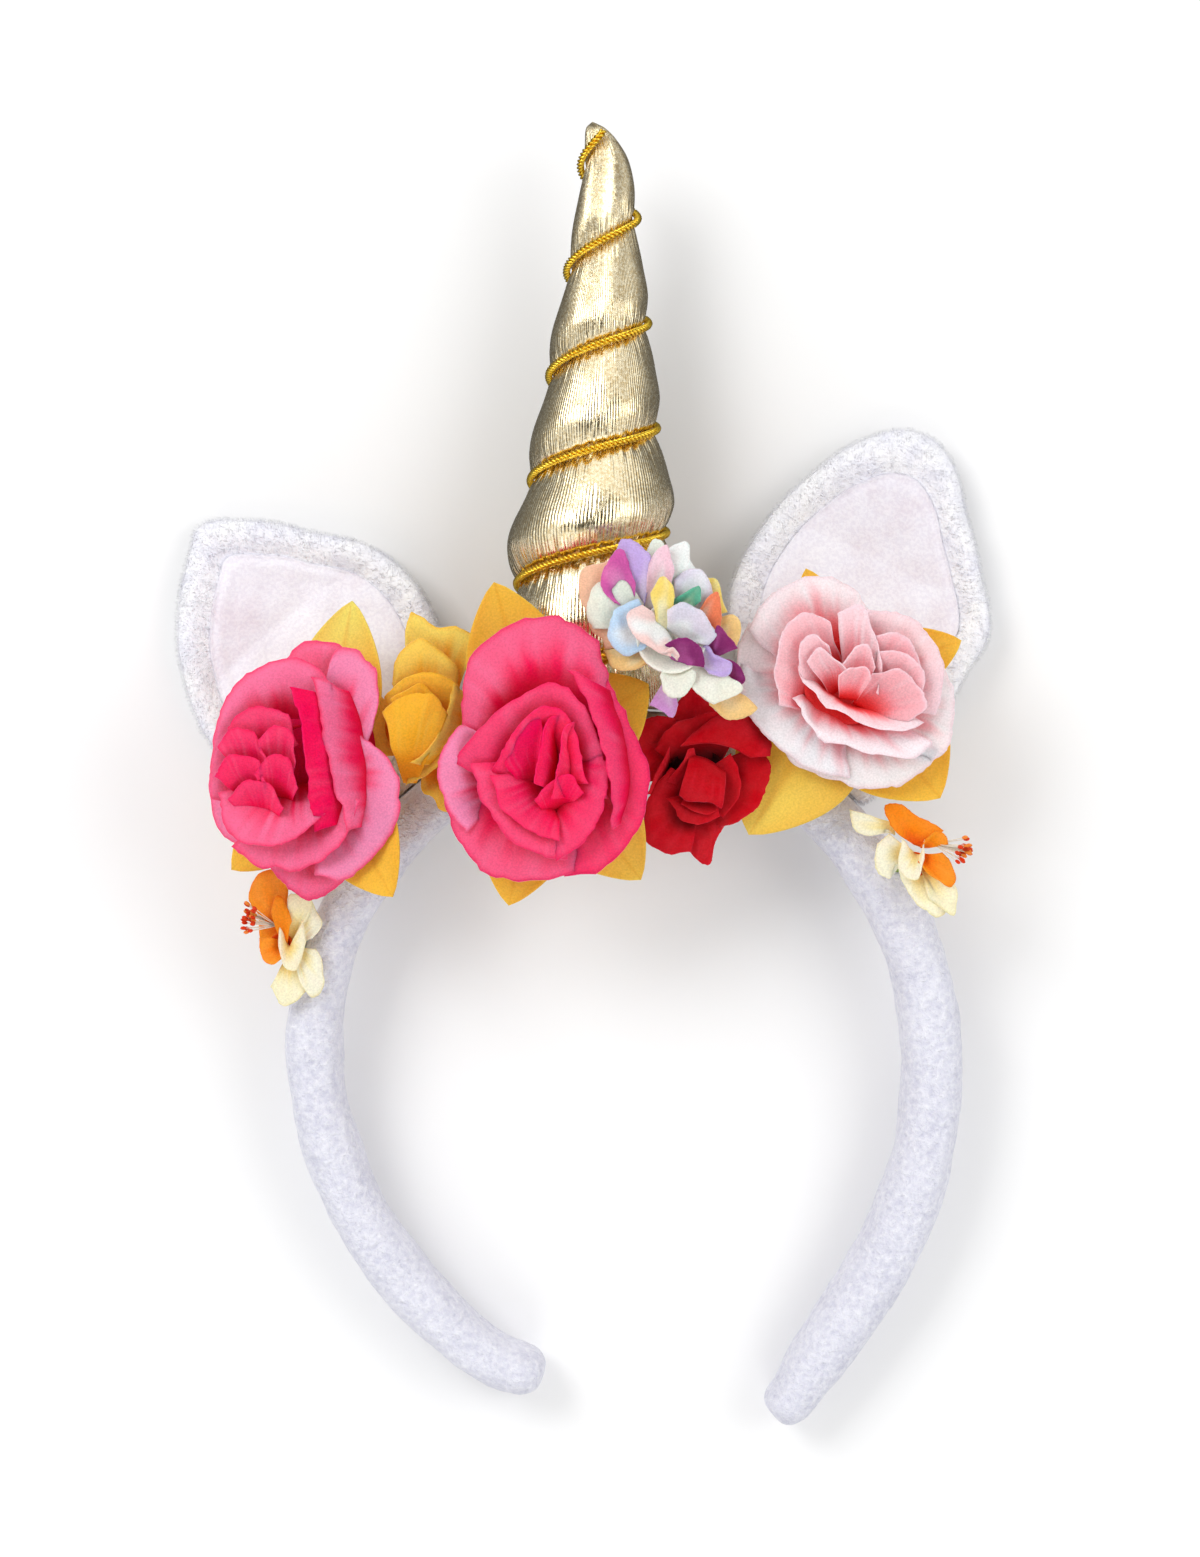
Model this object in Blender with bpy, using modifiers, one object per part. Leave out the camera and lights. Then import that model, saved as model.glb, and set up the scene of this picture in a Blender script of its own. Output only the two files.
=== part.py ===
"""A unicorn horn headband: a padded velvet band with a stuffed horn, two plush ears and cloth flowers.

It lies on its back. +X points to the right as the flowers are seen, +Y from the arm ends to the horn's tip,
and +Z away from the surface. The band rises a little towards its top, because the horn is thicker than it.
Angles round the ring are measured from its top, clockwise as the flowers are seen. Sizes are in metres.
"""

import math

import bmesh
import bpy
from mathutils import Vector

GAP = 0.0003  # clearance between pieces that touch

# Band
RING_RADIUS = 0.0716  # from the ring's centre to the middle of the band
BAND_THICKNESS = 0.0130  # from the inside of the ring to its outside
BAND_DEPTH = 0.0180  # from the back to the front
BAND_END_ROUND = 0.0060
TOP_RISE = 0.0093  # how much higher the band lies at its top than at its ends
BAND_SIDES = 12
BAND_STEP = 7.0  # degrees between sections
BAND_SQUARENESS = 2.6  # exponent of the section's superellipse: 2 is an ellipse
BAND_PATH = (
    # angle, radius as a share of RING_RADIUS, thickness as a share of BAND_THICKNESS
    (-161.6, 1.068, 0.88),
    (-155.0, 1.066, 0.95),
    (-139.0, 1.014, 1.02),
    (-118.5, 0.990, 1.02),
    (-100.0, 0.992, 1.00),
    (-80.0, 1.008, 0.98),
    (-50.0, 1.023, 0.94),
    (0.0, 1.055, 0.94),
    (40.0, 1.039, 1.02),
    (65.0, 1.011, 1.07),
    (95.0, 1.010, 1.08),
    (119.0, 1.050, 1.12),
    (137.5, 1.110, 1.10),
    (146.0, 1.163, 1.02),
    (153.4, 1.240, 0.90),
)

# Horn
HORN_LENGTH = 0.1342
HORN_RADIUS = 0.0197
HORN_ANGLE = -5.2  # where it stands on the band
HORN_SIDES = 18
GROOVE_DEPTH = 0.19  # as a share of the horn's radius at each height
HORN_PITCH = 0.0239  # height of one turn of the swirl
FIRST_GROOVE = 0.0109  # height at which the groove first crosses the front
HORN_SHAPE = (
    # height as a share of HORN_LENGTH, radius and sway to the right as shares of HORN_RADIUS
    (0.000, 0.96, 0.000),
    (0.120, 1.00, 0.000),
    (0.284, 0.99, 0.000),
    (0.385, 0.88, 0.045),
    (0.520, 0.715, 0.080),
    (0.628, 0.605, 0.115),
    (0.790, 0.415, 0.150),
    (0.880, 0.335, 0.160),
    (0.935, 0.270, 0.155),
    (0.970, 0.190, 0.100),
    (0.990, 0.110, 0.040),
    (1.000, 0.000, 0.000),
)
LOBE_SHAPE = (
    # share of the pitch above a groove, swell as a share of GROOVE_DEPTH
    (0.00, 0.00),
    (0.10, 0.50),
    (0.30, 1.00),
    (0.58, 0.86),
    (0.84, 0.42),
)
CORD_RADIUS = 0.0009
CORD_PROUD = 0.0002  # keeps the round cord off the groove's slopes
CORD_FOOT = 0.0030  # heights along the horn where the cord starts and ends
CORD_HEAD = 0.1312

# Ears
EAR_REACH = 0.0400
EAR_THICKNESS = 0.0080
EAR_CUP = 0.0050  # how far the side edges stand forward of the middle
EAR_LEAN = 0.0500  # length over which an ear leans back to the surface
PANEL_THICKNESS = 0.0010
PANEL_SHARE = 0.70  # the panel's size as a share of the ear's
EAR_COLUMNS = 26
EAR_LEFT_CENTRE = (-0.0728, 0.0932)
EAR_LEFT_APEX = 131.0  # direction of the tip from the ear's centre, degrees from +X towards +Y
EAR_LEFT_OUTLINE = (
    # direction from the ear's centre, distance as a share of EAR_REACH
    (-142, 0.757),
    (-107, 0.800),
    (-82, 0.886),
    (-65, 1.050),
    (-47, 0.986),
    (-32, 0.896),
    (-8, 0.800),
    (18, 0.763),
    (43, 0.751),
    (62, 0.748),
    (89, 0.745),
    (107, 0.848),
    (117, 0.919),
    (125, 1.004),
    (131, 1.033),
    (137, 0.974),
    (147, 0.904),
    (161, 0.832),
    (173, 0.792),
    (189, 0.755),
    (204, 0.751),
)
EAR_RIGHT_CENTRE = (0.0561, 0.1048)
EAR_RIGHT_APEX = 76.0
EAR_RIGHT_OUTLINE = (
    (-162, 0.781),
    (-136, 0.838),
    (-112, 0.986),
    (-94, 1.145),
    (-81, 1.010),
    (-60, 0.810),
    (-32, 0.715),
    (-11, 0.760),
    (5, 0.748),
    (19, 0.744),
    (40, 0.825),
    (55, 0.986),
    (66, 1.095),
    (76, 1.099),
    (84, 1.044),
    (94, 0.966),
    (111, 0.844),
    (138, 0.761),
    (160, 0.761),
    (175, 0.778),
)

# Flowers
CLOTH = 0.0010  # thickness of petals and leaves
STEM_RADIUS = 0.0014
STEM_STRAIGHT = 0.0012  # how far a stem runs straight at each end
STEM_STEP = 0.0045  # the least length between points of a stem's bend
LEAF_POINT = 1.6  # exponent of a leaf's taper: 1 is straight-sided
PETAL_ROUND = 2.6  # exponent of a petal's rim: higher is squarer
FLOWERS = {
    # radius and depth of the outer cup; foot_angle and foot_side say where the stem leaves the band, the
    # side being 0 at its outside and 90 at its front; out, along and up place the head from the foot as
    # shares of RING_RADIUS; tilt and turn lean the head, turn being the direction on the surface
    "rose_pink_left": dict(radius=0.0262, depth=0.0120, foot_angle=-46.0, foot_side=60,
                           out=0.237, along=0.041, up=0.110, tilt=26.0, turn=170.0),
    "rose_pink_centre": dict(radius=0.0285, depth=0.0120, foot_angle=-13.8, foot_side=90,
                             out=-0.030, along=-0.007, up=0.185, tilt=0.0, turn=0.0),
    "rose_yellow": dict(radius=0.0215, depth=0.0090, foot_angle=-31.0, foot_side=60,
                        out=0.170, along=0.020, up=0.060, tilt=0.0, turn=0.0),
    "rose_red": dict(radius=0.0180, depth=0.0085, foot_angle=14.0, foot_side=90,
                     out=-0.085, along=0.003, up=0.065, tilt=12.0, turn=-90.0),
    "rose_blush": dict(radius=0.0250, depth=0.0120, foot_angle=33.0, foot_side=60,
                       out=0.303, along=-0.088, up=0.100, tilt=0.0, turn=0.0),
    "flower_pastel": dict(radius=0.0205, depth=0.0060, foot_angle=8.6, foot_side=90,
                          out=0.300, along=-0.056, up=0.235, tilt=0.0, turn=0.0),
    "blossom_left": dict(radius=0.0125, depth=0.0070, foot_angle=-70.0, foot_side=30,
                         out=0.056, along=0.000, up=0.062, tilt=60.0, turn=185.0),
    "blossom_right": dict(radius=0.0140, depth=0.0070, foot_angle=54.0, foot_side=60,
                          out=0.045, along=0.012, up=0.075, tilt=42.0, turn=-5.0),
}
OUTER_PETALS = {
    # direction in the flower's plane, half width in degrees, reach as a share of the flower's radius
    "rose_pink_left": (
        (95, 50, 1.00), (25, 40, 0.92), (-30, 42, 0.96), (-85, 44, 1.05), (-150, 46, 0.92), (160, 42, 0.84),
    ),
    "rose_pink_centre": (
        (92, 52, 1.02), (12, 42, 0.80), (-38, 40, 0.93), (-88, 42, 0.97), (-140, 42, 0.92), (172, 40, 0.82),
    ),
    "rose_yellow": (
        (95, 34, 1.05), (30, 36, 0.70), (-35, 36, 0.72), (-90, 34, 0.95), (-145, 36, 0.50), (150, 36, 0.46),
    ),
    "rose_red": (
        (95, 34, 1.08), (35, 44, 0.92), (-25, 38, 0.86), (-75, 36, 1.02), (-135, 42, 0.92), (160, 46, 0.90),
    ),
    "rose_blush": (
        (108, 44, 0.97), (52, 40, 0.93), (5, 38, 1.00), (-48, 44, 1.04), (-110, 44, 0.98), (170, 44, 1.00),
    ),
    "flower_pastel": (
        (106, 30, 1.06), (52, 34, 1.02), (4, 34, 0.86), (-48, 36, 0.86), (-110, 34, 0.60), (152, 26, 0.95),
    ),
}
LEAVES = {
    # direction, half width, reach as a share of the flower's radius, rise of the tip as a share of it
    "rose_pink_left": (
        (91, 20, 1.50, 0.00), (165, 14, 1.16, 0.10), (222, 14, 1.28, 0.05), (-62, 22, 1.30, 0.00),
        (-96, 14, 1.08, 0.00),
    ),
    "rose_pink_centre": (
        (106, 20, 1.42, 0.00), (40, 22, 1.00, 0.00), (-52, 16, 1.25, 0.00), (-103, 16, 1.22, 0.00),
    ),
    "rose_blush": (
        (238, 24, 1.62, 0.00), (-50, 26, 1.40, 0.02), (108, 12, 1.10, 0.00), (20, 14, 1.14, 0.00),
    ),
}
INNER_LAYERS = {
    # name, number of petals, radius and depth as shares of the flower's, direction of the first petal
    "rose_pink_left": (("petals_inner", 5, 0.66, 1.10, 20), ("heart", 3, 0.33, 1.25, 50)),
    "rose_pink_centre": (("petals_inner", 5, 0.66, 1.10, 40), ("heart", 3, 0.33, 1.25, 10)),
    "rose_yellow": (("heart", 4, 0.42, 1.20, 30),),
    "rose_red": (("heart", 4, 0.55, 1.30, 60),),
    "rose_blush": (("petals_inner", 5, 0.68, 1.10, 0), ("heart", 3, 0.36, 1.25, 30)),
    "flower_pastel": (("petals_middle", 5, 0.68, 1.40, 30), ("petals_inner", 4, 0.38, 1.80, 10)),
}
BLOSSOM_LAYERS = (("petals_outer", 5, 1.00, 1.00, 18), ("petals_inner", 5, 0.62, 1.35, 54))
STAMEN_RADIUS = 0.0030
STAMEN_LENGTH = 0.0085

COLOURS = {
    # red, green, blue, roughness, metallic
    "velvet": (0.90, 0.90, 0.94, 0.85, 0.0),
    "plush": (0.93, 0.93, 0.96, 0.90, 0.0),
    "ear_panel": (0.90, 0.87, 0.90, 0.60, 0.0),
    "gold_cloth": (0.78, 0.66, 0.44, 0.28, 1.0),
    "gold_cord": (0.80, 0.58, 0.12, 0.30, 1.0),
    "pink_petals": (0.93, 0.06, 0.22, 0.70, 0.0),
    "red_petals": (0.55, 0.01, 0.03, 0.75, 0.0),
    "yellow_petals": (0.95, 0.50, 0.08, 0.70, 0.0),
    "blush_petals": (0.97, 0.62, 0.66, 0.70, 0.0),
    "pastel_petals": (0.85, 0.80, 0.86, 0.70, 0.0),
    "cream_petals": (0.98, 0.86, 0.50, 0.70, 0.0),
    "orange_petals": (0.96, 0.45, 0.06, 0.70, 0.0),
    "stamens": (0.90, 0.22, 0.05, 0.60, 0.0),
    "leaves": (0.85, 0.52, 0.08, 0.65, 0.0),
    "stem": (0.25, 0.40, 0.12, 0.60, 0.0),
}
PETAL_COLOUR = {
    "rose_pink_left": "pink_petals",
    "rose_pink_centre": "pink_petals",
    "rose_yellow": "yellow_petals",
    "rose_red": "red_petals",
    "rose_blush": "blush_petals",
    "flower_pastel": "pastel_petals",
}


# Shared helpers


def smooth_row(rows, x):
    """The other columns of a table at x, on a smooth curve through its rows."""
    last = len(rows) - 2
    i = 0
    while i < last and rows[i + 1][0] < x:
        i += 1
    a, b = rows[i], rows[i + 1]
    before, after = rows[max(i - 1, 0)], rows[min(i + 2, last + 1)]
    span = b[0] - a[0]
    t = min(max((x - a[0]) / span, 0.0), 1.0)
    result = []
    for k in range(1, len(a)):
        slope_a = (b[k] - before[k]) / (b[0] - before[0]) * span
        slope_b = (after[k] - a[k]) / (after[0] - a[0]) * span
        h = t * t * (3 - 2 * t)
        result.append(a[k] + (b[k] - a[k]) * h + (slope_a * (1 - t) - slope_b * t) * t * (1 - t))
    return result


def angle_between(a, b):
    """The turn from b to a in degrees, between -180 and 180."""
    return (a - b + 180.0) % 360.0 - 180.0


def material(name):
    made = bpy.data.materials.get(name)
    if made is None:
        red, green, blue, roughness, metallic = COLOURS[name]
        made = bpy.data.materials.new(name)
        made.use_nodes = True
        shader = made.node_tree.nodes["Principled BSDF"]
        shader.inputs["Base Color"].default_value = (red, green, blue, 1.0)
        shader.inputs["Roughness"].default_value = roughness
        shader.inputs["Metallic"].default_value = metallic
    return made


def add_object(name, data, look, parts, root):
    obj = bpy.data.objects.new(name, data)
    parts.objects.link(obj)
    obj.parent = root
    obj.data.materials.append(material(look))
    return obj


def mesh_from(bm, name, look, parts, root, sharp_angle=60.0):
    bmesh.ops.recalc_face_normals(bm, faces=bm.faces)
    mesh = bpy.data.meshes.new(name)
    bm.to_mesh(mesh)
    bm.free()
    mesh.shade_smooth()
    mesh.set_sharp_from_angle(angle=math.radians(sharp_angle))
    return add_object(name, mesh, look, parts, root)


def bridge(bm, lower, upper):
    """Joins two closed rings of the same number of vertices."""
    count = len(lower)
    for i in range(count):
        j = (i + 1) % count
        bm.faces.new((lower[i], lower[j], upper[j], upper[i]))


def fan(bm, ring, centre):
    for i in range(len(ring)):
        bm.faces.new((ring[i], ring[(i + 1) % len(ring)], centre))


def add_solidify(obj, thickness):
    solidify = obj.modifiers.new("Solidify", "SOLIDIFY")
    solidify.thickness = thickness
    solidify.offset = 0.0
    return solidify


# Band


def spine(angle):
    """The middle of the band at an angle: x, y and the band's half thickness."""
    share, thick = smooth_row(BAND_PATH, angle)
    radius = RING_RADIUS * share
    turned = math.radians(angle)
    return radius * math.sin(turned), radius * math.cos(turned), BAND_THICKNESS * thick / 2


def spine_outward(angle):
    """The unit direction out of the ring, square to the band."""
    before, after = spine(angle - 0.5), spine(angle + 0.5)
    along = Vector((after[0] - before[0], after[1] - before[1], 0.0)).normalized()
    return Vector((-along.y, along.x, 0.0))


def lift(y):
    """The height of the band's middle over the surface at y."""
    top = spine(0.0)[1]
    low = spine(BAND_PATH[0][0])[1]
    return BAND_DEPTH / 2 + TOP_RISE * (y - low) / (top - low)


def section_point(angle, side, scale=1.0, shift=0.0):
    """A point of the band's surface. side is 0 outside, 90 in front, 180 inside and 270 at the back."""
    x, y, half = spine(angle)
    out = spine_outward(angle)
    turned = math.radians(side)
    power = 2.0 / BAND_SQUARENESS
    across = half * scale * math.copysign(abs(math.cos(turned)) ** power, math.cos(turned))
    forward = BAND_DEPTH / 2 * scale * math.copysign(abs(math.sin(turned)) ** power, math.sin(turned))
    centre = Vector((x, y, lift(y))) + Vector((out.y, -out.x, 0.0)) * shift
    return centre + out * across + Vector((0.0, 0.0, forward))


def band_facet(angle, side):
    """The middle and the outward direction of the band's flat strip at a side, at an angle."""
    half_step = 180.0 / BAND_SIDES
    first = section_point(angle, side - half_step)
    second = section_point(angle, side + half_step)
    along = spine_outward(angle).cross(Vector((0.0, 0.0, 1.0)))
    return (first + second) / 2, (second - first).cross(along).normalized()


def make_band(parts, root):
    bm = bmesh.new()
    first, last = BAND_PATH[0][0], BAND_PATH[-1][0]
    below = int((-BAND_STEP / 2 - first) // BAND_STEP)
    above = int((last - BAND_STEP / 2) // BAND_STEP)
    angles = [first] + [BAND_STEP * (i + 0.5) for i in range(-below - 1, above + 1)] + [last]
    stations = [(angle, 1.0, 0.0) for angle in angles]
    for turned in (30.0, 58.0, 80.0):
        scale = math.cos(math.radians(turned)) ** 0.8
        shift = BAND_END_ROUND * math.sin(math.radians(turned))
        stations.insert(0, (first, scale, -shift))
        stations.append((last, scale, shift))
    rings = []
    for angle, scale, shift in stations:
        sides = [360.0 * (k + 0.5) / BAND_SIDES for k in range(BAND_SIDES)]
        rings.append([bm.verts.new(section_point(angle, side, scale, shift)) for side in sides])
    for lower, upper in zip(rings, rings[1:]):
        bridge(bm, lower, upper)
    bm.faces.new(rings[0])
    bm.faces.new(rings[-1])
    return mesh_from(bm, "band", "velvet", parts, root)


def clear_of_band(point, clearance=GAP):
    """The point, moved straight out of the ring if it lies inside the band's outside."""
    angle = math.degrees(math.atan2(point.x, point.y))
    x, y, half = spine(angle)
    least = math.hypot(x, y) + half + clearance
    distance = math.hypot(point.x, point.y)
    if distance < least:
        return Vector((point.x * least / distance, point.y * least / distance, point.z))
    return point


# Horn


def horn_swell(height):
    """The swirl's swell, 0 to 1, at a height above the groove measured in turns."""
    rows = LOBE_SHAPE + ((1.0, 0.0),)
    phase = height % 1.0
    for (start, low), (end, high) in zip(rows, rows[1:]):
        if phase <= end:
            return low + (high - low) * (phase - start) / (end - start)
    return 0.0


def horn_axis(height):
    """A point of the horn's axis and its outer radius, at a height along the horn."""
    share, sway = smooth_row(HORN_SHAPE, height / HORN_LENGTH)
    x, y, half = spine(HORN_ANGLE)
    middle_y = y + half + GAP + height
    return Vector((x + HORN_RADIUS * sway, middle_y, lift(middle_y))), HORN_RADIUS * share


def horn_point(height, around, swell):
    """A point of the horn's surface. around is 0 in front and 90 at the right."""
    axis, radius = horn_axis(height)
    reach = radius * (1.0 - GROOVE_DEPTH * (1.0 - swell))
    turned = math.radians(around)
    return axis + Vector((reach * math.sin(turned), 0.0, reach * math.cos(turned)))


def make_horn(parts, root):
    """A lathe-like skin whose rows of points follow the swirl, so that edges lie along the groove."""
    bm = bmesh.new()
    turns_above = math.ceil(HORN_LENGTH / HORN_PITCH) + 1
    columns = []
    for i in range(HORN_SIDES + 1):
        around = 360.0 * i / HORN_SIDES
        column = []
        for turn in range(-2, turns_above):
            for phase, swell in LOBE_SHAPE:
                height = FIRST_GROOVE + HORN_PITCH * (turn + phase + around / 360.0)
                if height <= 0.0:
                    height = 0.0
                    swell = horn_swell((height - FIRST_GROOVE) / HORN_PITCH - around / 360.0)
                column.append(bm.verts.new(horn_point(min(height, HORN_LENGTH), around, swell)))
        columns.append(column)
    for left, right in zip(columns, columns[1:]):
        for k in range(len(left) - 1):
            bm.faces.new((left[k], right[k], right[k + 1], left[k + 1]))
    bmesh.ops.remove_doubles(bm, verts=bm.verts, dist=GAP / 10)
    bmesh.ops.dissolve_degenerate(bm, edges=bm.edges, dist=GAP / 10)
    rim = [edge for edge in bm.edges if edge.is_boundary]
    base = bmesh.ops.holes_fill(bm, edges=rim, sides=0)["faces"]
    middle = bmesh.ops.poke(bm, faces=base)["verts"]
    spokes = [edge for vert in middle for edge in vert.link_edges]
    bmesh.ops.subdivide_edges(bm, edges=spokes, cuts=1)
    for vert in bm.verts:
        vert.co = clear_of_band(vert.co)
    bmesh.ops.triangulate(bm, faces=[face for face in bm.faces if len(face.verts) > 4])
    return mesh_from(bm, "horn", "gold_cloth", parts, root)


def make_horn_cord(parts, root):
    """The cord follows the groove from the foot of the horn to its tip."""
    curve = bpy.data.curves.new("horn_cord", "CURVE")
    curve.dimensions = "3D"
    curve.bevel_depth = CORD_RADIUS
    curve.bevel_resolution = 1
    curve.use_fill_caps = True
    first = math.ceil(HORN_SIDES * (CORD_FOOT - FIRST_GROOVE) / HORN_PITCH)
    last = math.floor(HORN_SIDES * (CORD_HEAD - FIRST_GROOVE) / HORN_PITCH)
    route = curve.splines.new("POLY")
    route.points.add(last - first)
    for i in range(last - first + 1):
        around = 360.0 * (first + i) / HORN_SIDES
        height = FIRST_GROOVE + HORN_PITCH * around / 360.0
        axis, radius = horn_axis(height)
        groove = horn_point(height, around, 0.0)
        point = groove + (groove - axis).normalized() * (CORD_RADIUS + CORD_PROUD + GAP)
        route.points[i].co = (*point, 1.0)
    return add_object("horn_cord", curve, "gold_cord", parts, root)


# Ears


def ear_height(x, y, centre, apex):
    """The height of the middle of an ear's thickness: it leans back from the band and is cupped forward."""
    angle = math.degrees(math.atan2(x, y))
    band_x, band_y, half = spine(angle)
    beyond = math.hypot(x, y) - math.hypot(band_x, band_y) - half
    at_band = lift(band_y)
    rest = EAR_THICKNESS / 2
    lean = min(max(beyond / EAR_LEAN, 0.0), 1.0)
    along = Vector((math.cos(math.radians(apex)), math.sin(math.radians(apex))))
    across = along.x * (y - centre[1]) - along.y * (x - centre[0])
    edge = min(abs(across) / EAR_REACH, 1.0)
    return at_band + (rest - at_band) * lean ** 0.8 + EAR_CUP * edge * edge


def ear_point(centre, apex, outline, around, share, forward):
    """A point of an ear: share of its outline's distance, and forward of the middle in metres."""
    rows = outline + tuple((angle + 360, reach) for angle, reach in outline[:3])
    rows = tuple((angle - 360, reach) for angle, reach in outline[-3:]) + rows
    wrapped = outline[0][0] + (around - outline[0][0]) % 360.0
    reach = smooth_row(rows, wrapped)[0] * EAR_REACH * share
    x = centre[0] + reach * math.cos(math.radians(around))
    y = centre[1] + reach * math.sin(math.radians(around))
    point = clear_of_band(Vector((x, y, 0.0)))
    return Vector((point.x, point.y, ear_height(point.x, point.y, centre, apex) + forward))


def make_ear(name, centre, apex, outline, parts, root):
    """A padded ear with a shallow dish in its front for the panel, and its back flat where it rests."""
    bm = bmesh.new()
    half = EAR_THICKNESS / 2
    dish = half - PANEL_THICKNESS - GAP
    lips = (
        # share of the outline, forward of the middle
        (0.45, dish),
        (PANEL_SHARE + 0.02, dish),
        (PANEL_SHARE + 0.08, half),
        (0.90, half * 0.94),
        (1.00, 0.0),
        (0.88, -half * 0.90),
        (0.50, -half),
    )
    around = [apex - 360.0 * i / EAR_COLUMNS for i in range(EAR_COLUMNS)][::-1]
    rings = []
    for share, forward in lips:
        points = [ear_point(centre, apex, outline, angle, share, forward) for angle in around]
        rings.append([bm.verts.new((p.x, p.y, max(p.z, 0.0))) for p in points])
    front = bm.verts.new(ear_point(centre, apex, outline, 0.0, 0.0, dish))
    back = ear_point(centre, apex, outline, 0.0, 0.0, -half)
    fan(bm, rings[0][::-1], front)
    for lower, upper in zip(rings, rings[1:]):
        bridge(bm, lower, upper)
    fan(bm, rings[-1], bm.verts.new((back.x, back.y, max(back.z, 0.0))))
    ear = mesh_from(bm, name, "plush", parts, root)

    bm = bmesh.new()
    level = dish + GAP + PANEL_THICKNESS / 2
    middle = bm.verts.new(ear_point(centre, apex, outline, 0.0, 0.0, level))
    inner = [bm.verts.new(ear_point(centre, apex, outline, a, 0.45, level)) for a in around]
    outer = [bm.verts.new(ear_point(centre, apex, outline, a, PANEL_SHARE, level)) for a in around]
    fan(bm, inner, middle)
    bridge(bm, inner, outer)
    panel = mesh_from(bm, name + "_panel", "ear_panel", parts, root)
    add_solidify(panel, PANEL_THICKNESS)
    return ear, panel


# Flowers


def flower_frame(name):
    """The foot on the band with its direction, the back of the head, and the head's three directions."""
    spec = FLOWERS[name]
    foot, outward = band_facet(spec["foot_angle"], spec["foot_side"])
    out = spine_outward(spec["foot_angle"])
    along = Vector((out.y, -out.x, 0.0))
    shares = out * spec["out"] + along * spec["along"] + Vector((0.0, 0.0, spec["up"]))
    head = foot + shares * RING_RADIUS
    tilt = math.radians(spec["tilt"])
    turn = math.radians(spec["turn"])
    axis = Vector((math.sin(tilt) * math.cos(turn), math.sin(tilt) * math.sin(turn), math.cos(tilt)))
    up = Vector((0.0, 1.0, 0.0))
    right = up.cross(axis).normalized()
    return foot, outward, head, right, axis.cross(right), axis


def rim_reach(rows, around, valley, exponent, rounded):
    """How far a layer reaches in a direction: the furthest of its lobes there."""
    best = valley
    for row in rows:
        t = abs(angle_between(around, row[0])) / row[1]
        if t < 1.0:
            shape = (1.0 - t**exponent) ** (0.5 if rounded else 1.0)
            best = max(best, valley + (row[2] - valley) * shape)
    return best


def rim_rise(rows, around):
    """The rise of a leaf's tip in a direction, 0 between the leaves."""
    total = 0.0
    for row in rows:
        t = abs(angle_between(around, row[0])) / row[1]
        if t < 1.0 and len(row) > 3:
            total = row[3] * (1.0 - t)
    return total


def make_layer(name, head, right, up, axis, base, radius, depth, rows, look, parts, root, leaf=False):
    """One stamped layer: a cup of overlapping petals, or a flat collar of pointed leaves."""
    bm = bmesh.new()
    samples = (-0.8, -0.45, 0.0, 0.45, 0.8) if leaf else (-0.72, -0.25, 0.25, 0.72)
    arounds = sorted({round((row[0] + row[1] * t) % 360.0, 3) for row in rows for t in samples})
    kept = [a for a, b in zip(arounds, arounds[1:] + [arounds[0] + 360.0]) if b - a > 4.0]
    valley = 0.30 if leaf else 0.72 * min(row[2] for row in rows)
    shares = (0.34, 0.70, 1.0) if leaf else (0.40, 0.74, 1.0)
    rings = [[] for _ in shares]
    for around in kept:
        turned = math.radians(around)
        reach = rim_reach(rows, around, valley, LEAF_POINT if leaf else PETAL_ROUND, not leaf)
        rise = rim_rise(rows, around)
        for ring, share in zip(rings, shares):
            out = reach * share
            height = rise * radius * share * share if leaf else depth * min(out, 1.0) ** 2.1
            flat = right * math.cos(turned) + up * math.sin(turned)
            ring.append(bm.verts.new(head + axis * (base + height) + flat * (radius * out)))
    fan(bm, rings[0], bm.verts.new(head + axis * base))
    for lower, upper in zip(rings, rings[1:]):
        bridge(bm, lower, upper)
    obj = mesh_from(bm, name, look, parts, root)
    add_solidify(obj, CLOTH)
    return obj


def even_petals(count, first):
    """Rows for petals that all reach the same, each overlapping the next."""
    return tuple((first + 360.0 * i / count, 205.0 / count, 1.0) for i in range(count))


def make_stem(name, foot, outward, head, axis, parts, root):
    """A bent stem from the band to the back of the head, square to both."""
    curve = bpy.data.curves.new(name, "CURVE")
    curve.dimensions = "3D"
    curve.bevel_depth = STEM_RADIUS
    curve.bevel_resolution = 1
    curve.use_fill_caps = True
    start = foot + outward * (GAP + STEM_STRAIGHT)
    end = head - axis * (GAP + STEM_STRAIGHT)
    pull = (end - start).length
    points = [foot + outward * GAP]
    steps = max(int(pull / STEM_STEP), 1)
    for i in range(steps + 1):
        t = i / steps
        points.append(
            start * (1 + 2 * t) * (1 - t) ** 2
            + outward * (pull * t * (1 - t) ** 2)
            + end * (3 - 2 * t) * t * t
            - axis * (pull * t * t * (1 - t))
        )
    points.append(head - axis * GAP)
    route = curve.splines.new("POLY")
    route.points.add(len(points) - 1)
    for place, point in zip(route.points, points):
        place.co = (*point, 1.0)
    return add_object(name, curve, "stem", parts, root)


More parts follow.
